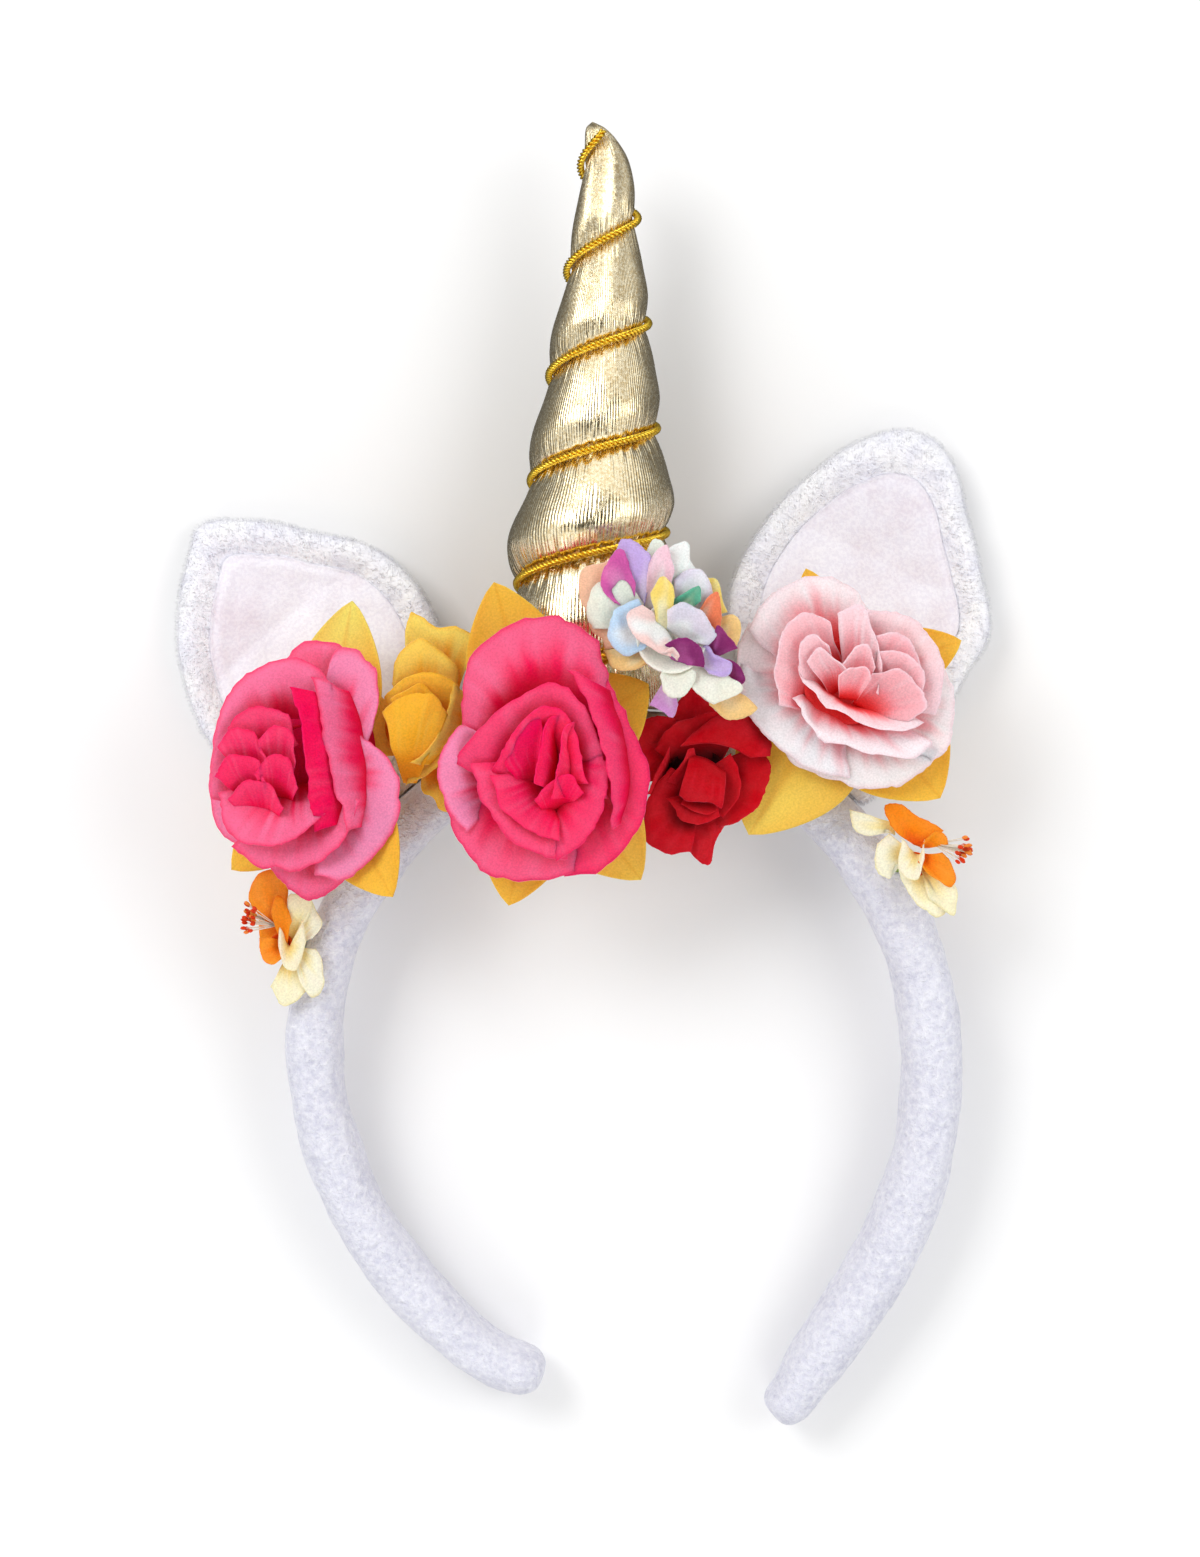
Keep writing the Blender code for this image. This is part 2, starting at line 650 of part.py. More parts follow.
def make_flower(name, parts, root):
    """A rose: stem, collar of leaves where it has one, and its nested cups of petals."""
    spec = FLOWERS[name]
    foot, outward, head, right, up, axis = flower_frame(name)
    made = [make_stem(name + "_stem", foot, outward, head, axis, parts, root)]
    base = CLOTH / 2
    if name in LEAVES:
        made.append(make_layer(name + "_leaves", head, right, up, axis, base, spec["radius"], 0.0,
                               LEAVES[name], "leaves", parts, root, leaf=True))
        base += CLOTH + GAP
    look = PETAL_COLOUR[name]
    made.append(make_layer(name + "_petals_outer", head, right, up, axis, base, spec["radius"],
                           spec["depth"], OUTER_PETALS[name], look, parts, root))
    for layer, count, width, height, first in INNER_LAYERS[name]:
        base += CLOTH + GAP
        made.append(make_layer(f"{name}_{layer}", head, right, up, axis, base, spec["radius"] * width,
                               spec["depth"] * height, even_petals(count, first), look, parts, root))
    return made


def make_blossom(name, parts, root):
    """A small open flower: stem, cream petals, an orange cup and a tuft of stamens."""
    spec = FLOWERS[name]
    foot, outward, head, right, up, axis = flower_frame(name)
    made = [make_stem(name + "_stem", foot, outward, head, axis, parts, root)]
    base = CLOTH / 2
    for (layer, count, width, height, first), look in zip(BLOSSOM_LAYERS, ("cream_petals", "orange_petals")):
        made.append(make_layer(f"{name}_{layer}", head, right, up, axis, base, spec["radius"] * width,
                               spec["depth"] * height, even_petals(count, first), look, parts, root))
        base += CLOTH + GAP
    bm = bmesh.new()
    bmesh.ops.create_cone(bm, cap_ends=True, segments=8, radius1=STAMEN_RADIUS * 0.25,
                          radius2=STAMEN_RADIUS, depth=STAMEN_LENGTH)
    tuft = mesh_from(bm, name + "_stamens", "stamens", parts, root)
    tuft.rotation_euler = axis.to_track_quat("Z", "Y").to_euler()
    tuft.location = head + axis * (base - CLOTH / 2 + GAP + STAMEN_LENGTH / 2)
    return made + [tuft]


# The whole headband


def set_down(objects, root):
    """Moves the whole so that the middle of its underside is the origin."""
    bpy.context.view_layer.update()
    graph = bpy.context.evaluated_depsgraph_get()
    low = Vector((math.inf,) * 3)
    high = Vector((-math.inf,) * 3)
    for obj in objects:
        seen = obj.evaluated_get(graph)
        mesh = seen.to_mesh()
        for vert in mesh.vertices:
            point = seen.matrix_world @ vert.co
            low = Vector(map(min, low, point))
            high = Vector(map(max, high, point))
        seen.to_mesh_clear()
    root.location = (-(low.x + high.x) / 2, -(low.y + high.y) / 2, -low.z)


def main():
    for obj in list(bpy.data.objects):
        bpy.data.objects.remove(obj, do_unlink=True)
    parts = bpy.data.collections.new("unicorn_headband")
    bpy.context.scene.collection.children.link(parts)
    root = bpy.data.objects.new("headband", None)
    parts.objects.link(root)

    made = [make_band(parts, root), make_horn(parts, root), make_horn_cord(parts, root)]
    made += make_ear("ear_left", EAR_LEFT_CENTRE, EAR_LEFT_APEX, EAR_LEFT_OUTLINE, parts, root)
    made += make_ear("ear_right", EAR_RIGHT_CENTRE, EAR_RIGHT_APEX, EAR_RIGHT_OUTLINE, parts, root)
    for name in FLOWERS:
        make = make_blossom if name.startswith("blossom") else make_flower
        made += make(name, parts, root)
    set_down(made, root)


main()
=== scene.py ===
"""The looks of the unicorn horn headband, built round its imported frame.

Places are in the frame, in metres. Most shapes are worked out about the ring's centre, with angles round
the ring measured from its top, clockwise as the flowers are seen, and are then moved by RING_CENTRE.
"""

import math

import bpy
import numpy as np
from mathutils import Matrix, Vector


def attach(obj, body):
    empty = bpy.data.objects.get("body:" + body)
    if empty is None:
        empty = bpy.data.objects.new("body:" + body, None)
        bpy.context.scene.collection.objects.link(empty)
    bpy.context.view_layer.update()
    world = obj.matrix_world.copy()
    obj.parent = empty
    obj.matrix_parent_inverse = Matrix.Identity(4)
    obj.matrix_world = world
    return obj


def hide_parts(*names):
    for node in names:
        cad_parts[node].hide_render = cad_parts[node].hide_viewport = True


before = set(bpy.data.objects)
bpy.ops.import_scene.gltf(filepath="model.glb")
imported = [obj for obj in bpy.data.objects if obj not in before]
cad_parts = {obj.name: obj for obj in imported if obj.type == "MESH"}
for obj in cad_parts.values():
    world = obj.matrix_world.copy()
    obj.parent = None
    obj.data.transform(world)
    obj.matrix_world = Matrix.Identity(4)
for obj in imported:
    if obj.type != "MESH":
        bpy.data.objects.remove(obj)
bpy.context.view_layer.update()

RING_CENTRE = np.array((0.008986, -0.065209, 0.0002))  # the ring's centre, on the surface
CAMERA_AIM = (0.003869, 0.000268)  # the point straight below the camera
CAMERA_HEIGHT = 0.75
FRAME_HEIGHT = 0.3622  # how much of the object the picture's height takes in, at FRAME_LEVEL
FRAME_LEVEL = 0.015
GAP = 0.0003

# Band
RING_RADIUS = 0.0716
BAND_THICKNESS = 0.0130
BAND_DEPTH = 0.0180
BAND_END_ROUND = 0.0060
TOP_RISE = 0.0093
BAND_SQUARENESS = 2.6
BAND_STATIONS = 330
BAND_COLUMNS = 60
BAND_NARROWER = 0.012  # how far the velvet stays inside the solid, as a share of its half thickness
BAND_FLATTER = 0.985  # its depth as a share of the solid's
BAND_END_ANGLES = (89.9, 84, 76, 67, 57, 46, 34, 22, 10)  # round each end, from its middle to its side
BAND_DENTS = ((0.024, 3, 0.00028), (0.009, 4, 0.00016), (0.0035, 5, 0.00006))  # size, seed, depth
BAND_PATH = (
    # angle, radius as a share of RING_RADIUS, thickness as a share of BAND_THICKNESS
    (-161.6, 1.068, 0.88),
    (-155.0, 1.066, 0.95),
    (-139.0, 1.014, 1.02),
    (-118.5, 0.990, 1.02),
    (-100.0, 0.992, 1.00),
    (-80.0, 1.008, 0.98),
    (-50.0, 1.023, 0.94),
    (0.0, 1.055, 0.94),
    (40.0, 1.039, 1.02),
    (65.0, 1.011, 1.07),
    (95.0, 1.010, 1.08),
    (119.0, 1.050, 1.12),
    (137.5, 1.110, 1.10),
    (146.0, 1.163, 1.02),
    (153.4, 1.240, 0.90),
)

# Horn
HORN_LENGTH = 0.1342
HORN_RADIUS = 0.0197
HORN_ANGLE = -5.2
GROOVE_DEPTH = 0.19
HORN_PITCH = 0.0239
FIRST_GROOVE = 0.0109
HORN_ROWS = 320
HORN_COLUMNS = 200
LOBE_STEPS = 200
PLEAT_DEPTH = 0.030  # of the cloth's gathers beside the cord, as a share of the horn's radius
LOBE_WAVE = 0.010
HORN_SHAPE = (
    # height as a share of HORN_LENGTH, radius and sway to the right as shares of HORN_RADIUS
    (0.000, 0.96, 0.000),
    (0.120, 1.00, 0.000),
    (0.284, 0.99, 0.000),
    (0.385, 0.88, 0.045),
    (0.520, 0.715, 0.080),
    (0.628, 0.605, 0.115),
    (0.790, 0.415, 0.150),
    (0.880, 0.335, 0.160),
    (0.935, 0.270, 0.155),
    (0.970, 0.190, 0.100),
    (0.990, 0.110, 0.040),
    (1.000, 0.000, 0.000),
)
LOBE_SHAPE = (
    # share of the pitch above a groove, swell as a share of GROOVE_DEPTH
    (-0.16, 0.42),
    (0.00, 0.00),
    (0.10, 0.50),
    (0.30, 1.00),
    (0.58, 0.86),
    (0.84, 0.42),
    (1.00, 0.00),
    (1.10, 0.50),
)
CORD_RADIUS = 0.0009
CORD_PROUD = 0.0002
CORD_FOOT = 0.0030
CORD_HEAD = 0.1312
CORD_LAY = 0.0034  # length of one turn of the cord's own twist
CORD_STRANDS = 3
CORD_STATIONS = 1500
STRAND_RADIUS = 0.50  # of each strand, as a share of CORD_RADIUS
STRAND_OFFSET = 0.52  # of its middle from the cord's, as a share of CORD_RADIUS
STRAND_SIDES = 7

# Ears
EAR_REACH = 0.0400
EAR_THICKNESS = 0.0080
EAR_CUP = 0.0050
EAR_LEAN = 0.0500
PANEL_THICKNESS = 0.0010
PANEL_SHARE = 0.70
PANEL_BED = 0.0004  # how much deeper the plush lies under the panel
PANEL_FOLDS = (
    # place across the ear, width, height
    (0.010, 0.0035, 0.0008),
    (-0.013, 0.0030, 0.0007),
    (0.001, 0.0022, -0.0005),
)
EAR_ROUND = 160
EAR_CREST = 0.88  # where the rim is highest, as a share of the ear's outline
PILE_LENGTH = 0.0012
PILE_LENGTHS = (0.55, 1.25)  # the range of a fibre's length, as shares of PILE_LENGTH
PILE_WIDTH = 0.00008
PILE_ROOT = 0.0002  # how deep a fibre starts in the plush
PILE_COMB, PILE_SWIRL, PILE_STRAY = 0.55, 0.45, 0.22  # lean outwards, lean in patches, lean of each fibre
PILE_COUNT = 26000
EARS = {
    "ear_left": dict(
        centre=(-0.0728, 0.0932), apex=131.0, seed=11,
        outline=(
            # direction from the ear's centre, distance as a share of EAR_REACH
            (-142, 0.757), (-107, 0.800), (-82, 0.886), (-65, 1.050), (-47, 0.986), (-32, 0.896), (-8, 0.800),
            (18, 0.763), (43, 0.751), (62, 0.748), (89, 0.745), (107, 0.848), (117, 0.919), (125, 1.004),
            (131, 1.033), (137, 0.974), (147, 0.904), (161, 0.832), (173, 0.792), (189, 0.755), (204, 0.751),
        ),
    ),
    "ear_right": dict(
        centre=(0.0561, 0.1048), apex=76.0, seed=23,
        outline=(
            (-162, 0.781), (-136, 0.838), (-112, 0.986), (-94, 1.145), (-81, 1.010), (-60, 0.810),
            (-32, 0.715), (-11, 0.760), (5, 0.748), (19, 0.744), (40, 0.825), (55, 0.986), (66, 1.095),
            (76, 1.099), (84, 1.044), (94, 0.966), (111, 0.844), (138, 0.761), (160, 0.761), (175, 0.778),
        ),
    ),
}

# Flowers
CLOTH = 0.0005  # thickness of the leaves
PETAL_CLOTH = 0.00028
BAND_SIDES = 12  # the flat strips that the stems stand on
PETAL_ACROSS = 37
PETAL_ALONG = 21
ROLL_FROM, ROLL_OVER = 0.78, 0.22  # where along a petal its rim starts to roll, and over how much of it
LEAF_ACROSS = 15
LEAF_ALONG = 24
FOOT_SIDES = 24
FOOT_ROWS = 7
FLOWERS = {
    # radius and depth of the outer cup; foot_angle and foot_side say where the stem leaves the band; out,
    # along and up place the head from the foot as shares of RING_RADIUS; tilt and turn lean the head
    "rose_pink_left": dict(radius=0.0262, depth=0.0120, foot_angle=-46.0, foot_side=60,
                           out=0.237, along=0.041, up=0.110, tilt=26.0, turn=170.0),
    "rose_pink_centre": dict(radius=0.0285, depth=0.0120, foot_angle=-13.8, foot_side=90,
                             out=-0.030, along=-0.007, up=0.185, tilt=0.0, turn=0.0),
    "rose_yellow": dict(radius=0.0215, depth=0.0090, foot_angle=-31.0, foot_side=60,
                        out=0.170, along=0.020, up=0.060, tilt=0.0, turn=0.0),
    "rose_red": dict(radius=0.0180, depth=0.0085, foot_angle=14.0, foot_side=90,
                     out=-0.085, along=0.003, up=0.065, tilt=12.0, turn=-90.0),
    "rose_blush": dict(radius=0.0250, depth=0.0120, foot_angle=33.0, foot_side=60,
                       out=0.303, along=-0.088, up=0.100, tilt=0.0, turn=0.0),
    "flower_pastel": dict(radius=0.0205, depth=0.0060, foot_angle=8.6, foot_side=90,
                          out=0.300, along=-0.056, up=0.235, tilt=0.0, turn=0.0),
    "blossom_left": dict(radius=0.0125, depth=0.0070, foot_angle=-70.0, foot_side=30,
                         out=0.056, along=0.000, up=0.062, tilt=60.0, turn=185.0),
    "blossom_right": dict(radius=0.0140, depth=0.0070, foot_angle=54.0, foot_side=60,
                          out=0.045, along=0.012, up=0.075, tilt=42.0, turn=-5.0),
}
LEAVES = {
    # direction, half width, reach as a share of the flower's radius, rise of the tip as a share of it, green
    "rose_pink_left": (
        (84, 15, 1.50, 0.00, 0.9), (165, 14, 1.16, 0.10, 0.2), (222, 14, 1.28, 0.05, 0.1),
        (-58, 16, 1.26, 0.00, 0.0), (-96, 14, 1.08, 0.00, 0.1),
    ),
    "rose_pink_centre": (
        (106, 15, 1.42, 0.00, 0.1), (34, 20, 1.00, 0.00, 0.0), (-52, 16, 1.25, 0.00, 0.3),
        (-103, 16, 1.22, 0.00, 0.1),
    ),
    "rose_blush": (
        (238, 18, 1.62, 0.00, 0.5), (-50, 21, 1.36, 0.02, 0.1), (108, 12, 1.10, 0.00, 0.1),
        (20, 14, 1.14, 0.00, 0.1),
    ),
}
PETALS = {
    # Petals chosen one by one. Each runs from its base to its rim, both curves of points to the right, up and
    # forward from the flower's middle, in hundredths of its radius; then, in hundredths of one, bulge, roll
    # of the rim, how pale, how much painted shade darkens its base; last, where it has one, its row of
    # PASTELS
    "rose_pink_left_petals_outer": (
        (((-45, -45, 20), (40, -50, 20)),
         ((-45, 60, 34), (0, 72, 34), (45, 60, 34)), 2, 0, 0, 60),
        (((-25, 30, 10), (35, 30, 10)),
         ((-32, 66, 30), (-7, 103, 38), (13, 108, 40), (32, 100, 40), (40, 62, 35)), 5, 50, 60, 100),
        (((10, 20, 10), (40, 5, 10)),
         ((18, 70, 44), (28, 101, 50), (45, 100, 50), (58, 86, 48), (63, 62, 44), (58, 36, 42), (50, 12, 40)),
         6, 20, 100, 100),
        (((30, 10, 10), (10, -45, 10)),
         ((48, 28, 44), (73, 8, 48), (82, -24, 50), (75, -54, 48), (60, -74, 44), (34, -94, 40), (8, -92,
         36)), 7, 20, 100, 100),
        (((-20, -40, 5), (20, -40, 5)),
         ((-38, -70, 22), (-22, -94, 25), (2, -109, 27), (27, -98, 28), (45, -76, 30)), 4, 80, 50, 100),
        (((-30, 20, 8), (-25, -30, 8)),
         ((-64, 42, 22), (-80, 2, 28), (-81, -26, 30), (-71, -54, 30), (-46, -70, 28)), 5, 40, 95, 100),
        (((-20, -25, 10), (20, -15, 10)),
         ((-62, -66, 40), (-32, -85, 44), (6, -82, 48), (33, -62, 52), (48, -26, 54)), 7, 30, 60, 100),
    ),
    "rose_pink_left_petals_inner": (
        (((-50, -30, 15), (-36, 10, 15), (-10, 26, 15), (15, 15, 15)),
         ((-79, -26, 46), (-76, 25, 52), (-62, 64, 58), (-32, 88, 60), (0, 92, 60), (26, 72, 58)), 5, 30, 70,
         100),
        (((48, 62, 22), (58, 25, 20), (60, -15, 20), (52, -50, 20)),
         ((8, 78, 56), (18, 36, 62), (25, -4, 62), (34, -32, 58), (38, -52, 52)), 10, 10, 55, 100),
        (((30, 60, 26), (40, 25, 25), (42, -15, 25), (38, -45, 25)),
         ((-10, 70, 62), (0, 32, 68), (5, -4, 68), (8, -32, 64), (12, -52, 56)), 10, 10, 0, 100),
        (((-30, -10, 20), (0, -10, 20)),
         ((-72, -20, 56), (-64, -50, 58), (-41, -66, 60), (-9, -60, 62), (20, -36, 62)), 7, 30, 55, 100),
    ),
    "rose_pink_left_heart": (
        (((-40, 2, 30), (-20, 10, 30)),
         ((-64, 14, 54), (-60, 40, 58), (-36, 52, 62), (-12, 44, 64), (-4, 20, 62)), 6, 20, 25, 100),
        (((-52, -10, 30), (-34, -16, 30)),
         ((-72, 18, 60), (-58, 34, 64), (-40, 30, 66), (-30, 10, 66)), 6, 30, 15, 100),
        (((-30, -5, 30), (-10, -12, 30)),
         ((-38, 22, 66), (-22, 36, 70), (-8, 26, 70), (-6, 4, 68)), 6, 30, 15, 100),
        (((-50, -28, 30), (-32, -34, 30)),
         ((-74, -8, 60), (-60, 12, 66), (-40, 8, 68), (-30, -14, 66)), 6, 30, 10, 100),
        (((-30, -26, 30), (-12, -30, 30)),
         ((-40, -6, 68), (-26, 10, 72), (-10, 4, 72), (-4, -18, 68)), 6, 30, 10, 100),
        (((-44, -44, 26), (-24, -46, 26)),
         ((-64, -28, 58), (-48, -12, 64), (-28, -14, 66), (-16, -34, 62)), 6, 30, 15, 100),
    ),
    "rose_pink_centre_petals_outer": (
        (((-40, 15, 20), (0, 40, 24), (40, 10, 20)),
         ((-62, 20, 32), (-57, 70, 38), (-32, 95, 42), (1, 105, 44), (30, 98, 44), (48, 72, 42), (54, 30,
         38)), 10, 50, 45, 100),
        (((25, 40, 14), (35, 0, 12), (25, -40, 12)),
         ((46, 68, 36), (58, 40, 42), (71, 14, 44), (80, -14, 44), (78, -44, 42), (64, -70, 40), (42, -90,
         38), (18, -92, 34)), 8, 50, 15, 100),
        (((20, -35, 10), (-20, -35, 10), (-40, 0, 10)),
         ((34, -86, 32), (10, -95, 36), (-15, -97, 38), (-38, -94, 38), (-58, -76, 38), (-72, -48, 36), (-76,
         -18, 34)), 8, 50, 40, 100),
        (((-35, 5, 16), (-35, -35, 16)),
         ((-48, 16, 40), (-63, 22, 42), (-76, 6, 44), (-81, -16, 44), (-74, -42, 42), (-58, -60, 40)), 5, 20,
         100, 100),
    ),
    "rose_pink_centre_petals_inner": (
        (((-25, -30, 22), (-10, 5, 24), (10, 12, 24), (22, -5, 24), (25, -35, 22)),
         ((-68, -6, 46), (-46, 22, 54), (-20, 42, 60), (10, 54, 62), (32, 36, 60), (45, 5, 58), (50, -34,
         54)), 6, 30, 25, 100),
        (((56, 48, 30), (66, 16, 30), (70, -20, 30), (62, -52, 28)),
         ((20, 66, 50), (37, 32, 60), (48, -4, 62), (55, -36, 58), (52, -60, 48)), 10, 10, 20, 100),
        (((-10, -5, 24), (0, -30, 24), (15, -50, 24)),
         ((-54, -6, 50), (-46, -36, 54), (-26, -62, 56), (0, -78, 54), (20, -80, 46)), 6, 30, 30, 100),
        (((5, -45, 24), (15, -20, 24), (25, 5, 24)),
         ((10, -82, 50), (32, -66, 56), (46, -42, 60), (50, -12, 60), (44, 12, 56)), 6, 30, 20, 100),
        (((-5, -15, 26), (5, -30, 26), (12, -45, 26)),
         ((-40, -16, 54), (-30, -40, 60), (-10, -58, 62), (14, -66, 56)), 6, 20, 15, 100),
    ),
    "rose_pink_centre_heart": (
        (((-12, -25, 28), (2, 2, 28), (16, -20, 28)),
         ((-38, -12, 52), (-22, 16, 62), (-4, 34, 66), (14, 34, 66), (28, 12, 64), (34, -24, 56)), 5, 20, 10,
         100),
        (((-14, -30, 30), (-2, -24, 30)),
         ((-28, -6, 56), (-16, 18, 62), (-4, 28, 64), (2, 6, 62)), 5, 20, 0, 100),
        (((10, -32, 32), (13, -5, 32), (12, 15, 32)),
         ((-6, -22, 60), (-1, 6, 66), (5, 27, 66), (14, 30, 62)), 5, 10, 5, 100),
        (((24, -32, 30), (27, -6, 30), (24, 12, 30)),
         ((8, -34, 58), (13, -6, 64), (16, 18, 66), (24, 24, 62)), 5, 10, 10, 100),
        (((4, -48, 28), (20, -40, 28)),
         ((-6, -36, 56), (6, -22, 60), (20, -18, 62), (32, -30, 60)), 5, 20, 5, 100),
    ),
    "rose_blush_petals_outer": (
        (((-45, 5, 10), (-10, 30, 12), (20, 20, 12)),
         ((-88, 46, 36), (-72, 72, 40), (-50, 88, 42), (-25, 93, 44), (2, 86, 44), (20, 62, 42)), 6, 50, 80,
         100),
        (((5, 30, 12), (35, 10, 12), (30, -20, 12)),
         ((6, 66, 40), (32, 63, 44), (60, 54, 46), (80, 32, 46), (86, 2, 46), (78, -30, 44)), 6, 40, 55, 100),
        (((30, 0, 8), (20, -30, 8)),
         ((84, 20, 30), (96, -6, 34), (97, -34, 34), (88, -62, 34), (66, -72, 32)), 5, 50, 90, 100),
        (((-30, 20, 8), (-35, -15, 8)),
         ((-86, 54, 26), (-96, 30, 30), (-98, 4, 32), (-90, -22, 32), (-72, -40, 30)), 5, 40, 90, 100),
        (((-20, -15, 6), (20, -25, 6)),
         ((-60, -54, 26), (-38, -76, 28), (-5, -88, 30), (30, -94, 30), (62, -84, 32), (86, -60, 32)), 5, 50,
         100, 100),
        (((-35, 0, 8), (-5, -25, 8)),
         ((-95, 16, 34), (-92, -12, 38), (-76, -42, 40), (-50, -66, 40), (-20, -80, 38), (4, -84, 32)), 6, 50,
         95, 100),
    ),
    "rose_blush_petals_inner": (
        (((-35, -25, 16), (-20, 5, 18), (0, 12, 18)),
         ((-62, -22, 50), (-64, 14, 54), (-56, 48, 56), (-36, 62, 56), (-16, 52, 54)), 5, 20, 30, 100),
        (((0, -10, 16), (30, -15, 16)),
         ((-10, 60, 56), (10, 68, 58), (24, 44, 58), (30, 12, 56), (26, -10, 50)), 6, 20, 50, 100),
        (((10, -10, 18), (30, -20, 18)),
         ((22, 40, 52), (44, 42, 54), (62, 28, 54), (64, 8, 52), (54, -6, 48)), 4, 20, 20, 100),
        (((8, -14, 20), (26, -24, 20)),
         ((24, 26, 54), (46, 26, 58), (64, 10, 58), (66, -10, 56), (54, -22, 50)), 4, 20, 25, 100),
        (((6, -18, 22), (22, -28, 22)),
         ((20, 6, 58), (44, 10, 62), (64, -4, 62), (68, -24, 60), (52, -36, 52)), 4, 20, 20, 100),
        (((-35, -10, 14), (0, -30, 14), (30, -30, 14)),
         ((-48, -14, 44), (-34, -42, 50), (-4, -56, 52), (30, -64, 52), (62, -66, 50), (76, -54, 44)), 6, 30,
         85, 100),
        (((-25, 0, 18), (5, -20, 18), (35, -22, 18)),
         ((-44, 14, 52), (-32, -8, 58), (-8, -26, 60), (22, -40, 60), (50, -44, 58), (68, -36, 52)), 6, 30,
         70, 100),
    ),
    "rose_blush_heart": (
        (((-22, -10, 24), (-8, 2, 24)),
         ((-44, 10, 56), (-42, 34, 60), (-30, 42, 62), (-18, 30, 62)), 4, 20, 40, 100),
        (((-14, -12, 26), (2, -2, 26)),
         ((-36, 18, 60), (-26, 30, 64), (-12, 22, 66), (0, 6, 66)), 4, 20, 35, 100),
        (((4, -12, 26), (16, -6, 26)),
         ((-6, 14, 64), (6, 30, 66), (18, 32, 64), (24, 12, 60)), 4, 20, 30, 100),
        (((-6, -14, 28), (10, -16, 28)),
         ((-10, 4, 66), (0, 10, 70), (12, 12, 68), (18, 0, 64)), 4, 20, 20, 100),
    ),
    "rose_yellow_petals_outer": (
        (((-15, 40, 8), (40, 40, 8)),
         ((-15, 70, 31), (-10, 118, 37), (15, 104, 40), (50, 98, 40), (60, 85, 37), (45, 60, 31)), 5, 30, 90,
         30),
        (((-25, 20, 23), (30, 20, 23)),
         ((-30, 40, 43), (-22, 72, 50), (2, 90, 53), (24, 76, 53), (38, 56, 50), (38, 38, 46)), 6, 50, 70,
         60),
        (((20, 0, 19), (0, -20, 19)),
         ((54, 24, 43), (48, -2, 50), (30, -30, 50), (5, -52, 46), (-14, -60, 40)), 5, 40, 50, 80),
        (((0, -40, 3), (25, -40, 3)),
         ((2, -72, 16), (14, -82, 19), (32, -90, 19), (36, -66, 19)), 4, 30, 40, 80),
        (((-20, 15, 3), (-20, -30, 3)),
         ((-46, 34, 12), (-58, 2, 16), (-46, -34, 16)), 4, 30, 30, 100),
    ),
    "rose_yellow_heart": (
        (((-28, 5, 31), (30, 5, 31)),
         ((-36, 30, 53), (-15, 48, 62), (8, 53, 65), (28, 50, 65), (41, 38, 59), (36, 22, 53)), 5, 30, 25,
         60),
        (((-15, 10, 39), (15, 10, 39)),
         ((-32, 24, 59), (-10, 38, 68), (4, 43, 68), (18, 32, 65)), 5, 30, 10, 60),
        (((56, 30, 23), (48, -5, 23), (22, -40, 23)),
         ((36, 42, 62), (30, 12, 71), (20, -10, 71), (8, -27, 68), (-10, -40, 62)), 8, 20, 90, 10),
        (((-18, -60, 31), (-4, -60, 31)),
         ((-37, 14, 71), (-20, 27, 78), (2, 32, 81), (20, 28, 78), (32, 12, 71)), 14, 20, 12, 50),
    ),
    "rose_red_petals_outer": (
        (((-30, 40, 5), (20, 40, 5)),
         ((-42, 70, 16), (-20, 100, 20), (-6, 120, 20), (6, 102, 20), (30, 78, 18)), 5, 30, 5, 50),
        (((-30, 0, 5), (-15, 35, 5)),
         ((-60, -5, 22), (-74, 32, 26), (-82, 62, 26), (-55, 76, 26), (-28, 72, 26)), 5, 40, 5, 70),
        (((20, 20, 5), (15, -35, 5)),
         ((82, 44, 28), (89, 8, 30), (78, -30, 30), (55, -50, 28), (26, -62, 24)), 5, 50, 0, 90),
        (((-8, -40, 8), (20, -40, 8)),
         ((-12, -86, 20), (14, -108, 20), (21, -85, 22), (34, -56, 22)), 5, 30, 10, 60),
        (((-10, -5, 15), (-15, -40, 15), (0, -50, 15)),
         ((-30, 14, 40), (-52, -10, 42), (-66, -42, 42), (-62, -76, 38), (-38, -92, 36), (-8, -90, 34)), 7,
         50, 12, 80),
        (((-30, 20, 12), (30, 20, 12)),
         ((-55, 34, 34), (-35, 62, 38), (-5, 76, 40), (30, 80, 40), (60, 72, 38)), 5, 30, 5, 90),
        (((-22, 40, 46), (12, 44, 50), (42, 38, 50), (66, 26, 46)),
         ((-8, 54, 44), (25, 76, 44), (60, 76, 42), (88, 48, 40), (86, 26, 38)), 4, 60, 20, 0),
    ),
    "rose_red_heart": (
        (((-50, -22, 12), (-34, 18, 12)),
         ((-62, -20, 42), (-49, 10, 46), (-36, 38, 48)), 3, 30, 25, 100),
        (((-20, -10, 20), (0, 15, 20)),
         ((-38, -4, 46), (-22, 16, 50), (-13, 34, 52), (-4, 38, 50)), 4, 30, 20, 100),
        (((10, 10, 15), (15, -30, 15)),
         ((40, 30, 38), (52, 6, 42), (50, -24, 42), (32, -48, 38)), 4, 20, 5, 100),
        (((-15, -20, 22), (15, -20, 22)),
         ((-38, -24, 46), (-22, -50, 50), (4, -56, 50), (28, -46, 50)), 5, 20, 10, 100),
        (((-10, -16, 24), (15, -18, 24)),
         ((-20, -30, 50), (-6, -42, 54), (12, -44, 54), (26, -38, 52)), 4, 20, 5, 100),
        (((-10, 30, 40), (12, 24, 42), (35, 8, 42)),
         ((-24, -20, 60), (-10, -27, 64), (10, -30, 64), (30, -36, 58)), 12, 20, 15, 0),
    ),
    "flower_pastel_petals_outer": (
        (((-25, -30, 2), (30, -30, 2)),
         ((-55, 55, 10), (-10, 80, 12), (40, 60, 10)), 2, 0, 0, 0, 12),
        (((5, 20, 10), (20, 10, 10)),
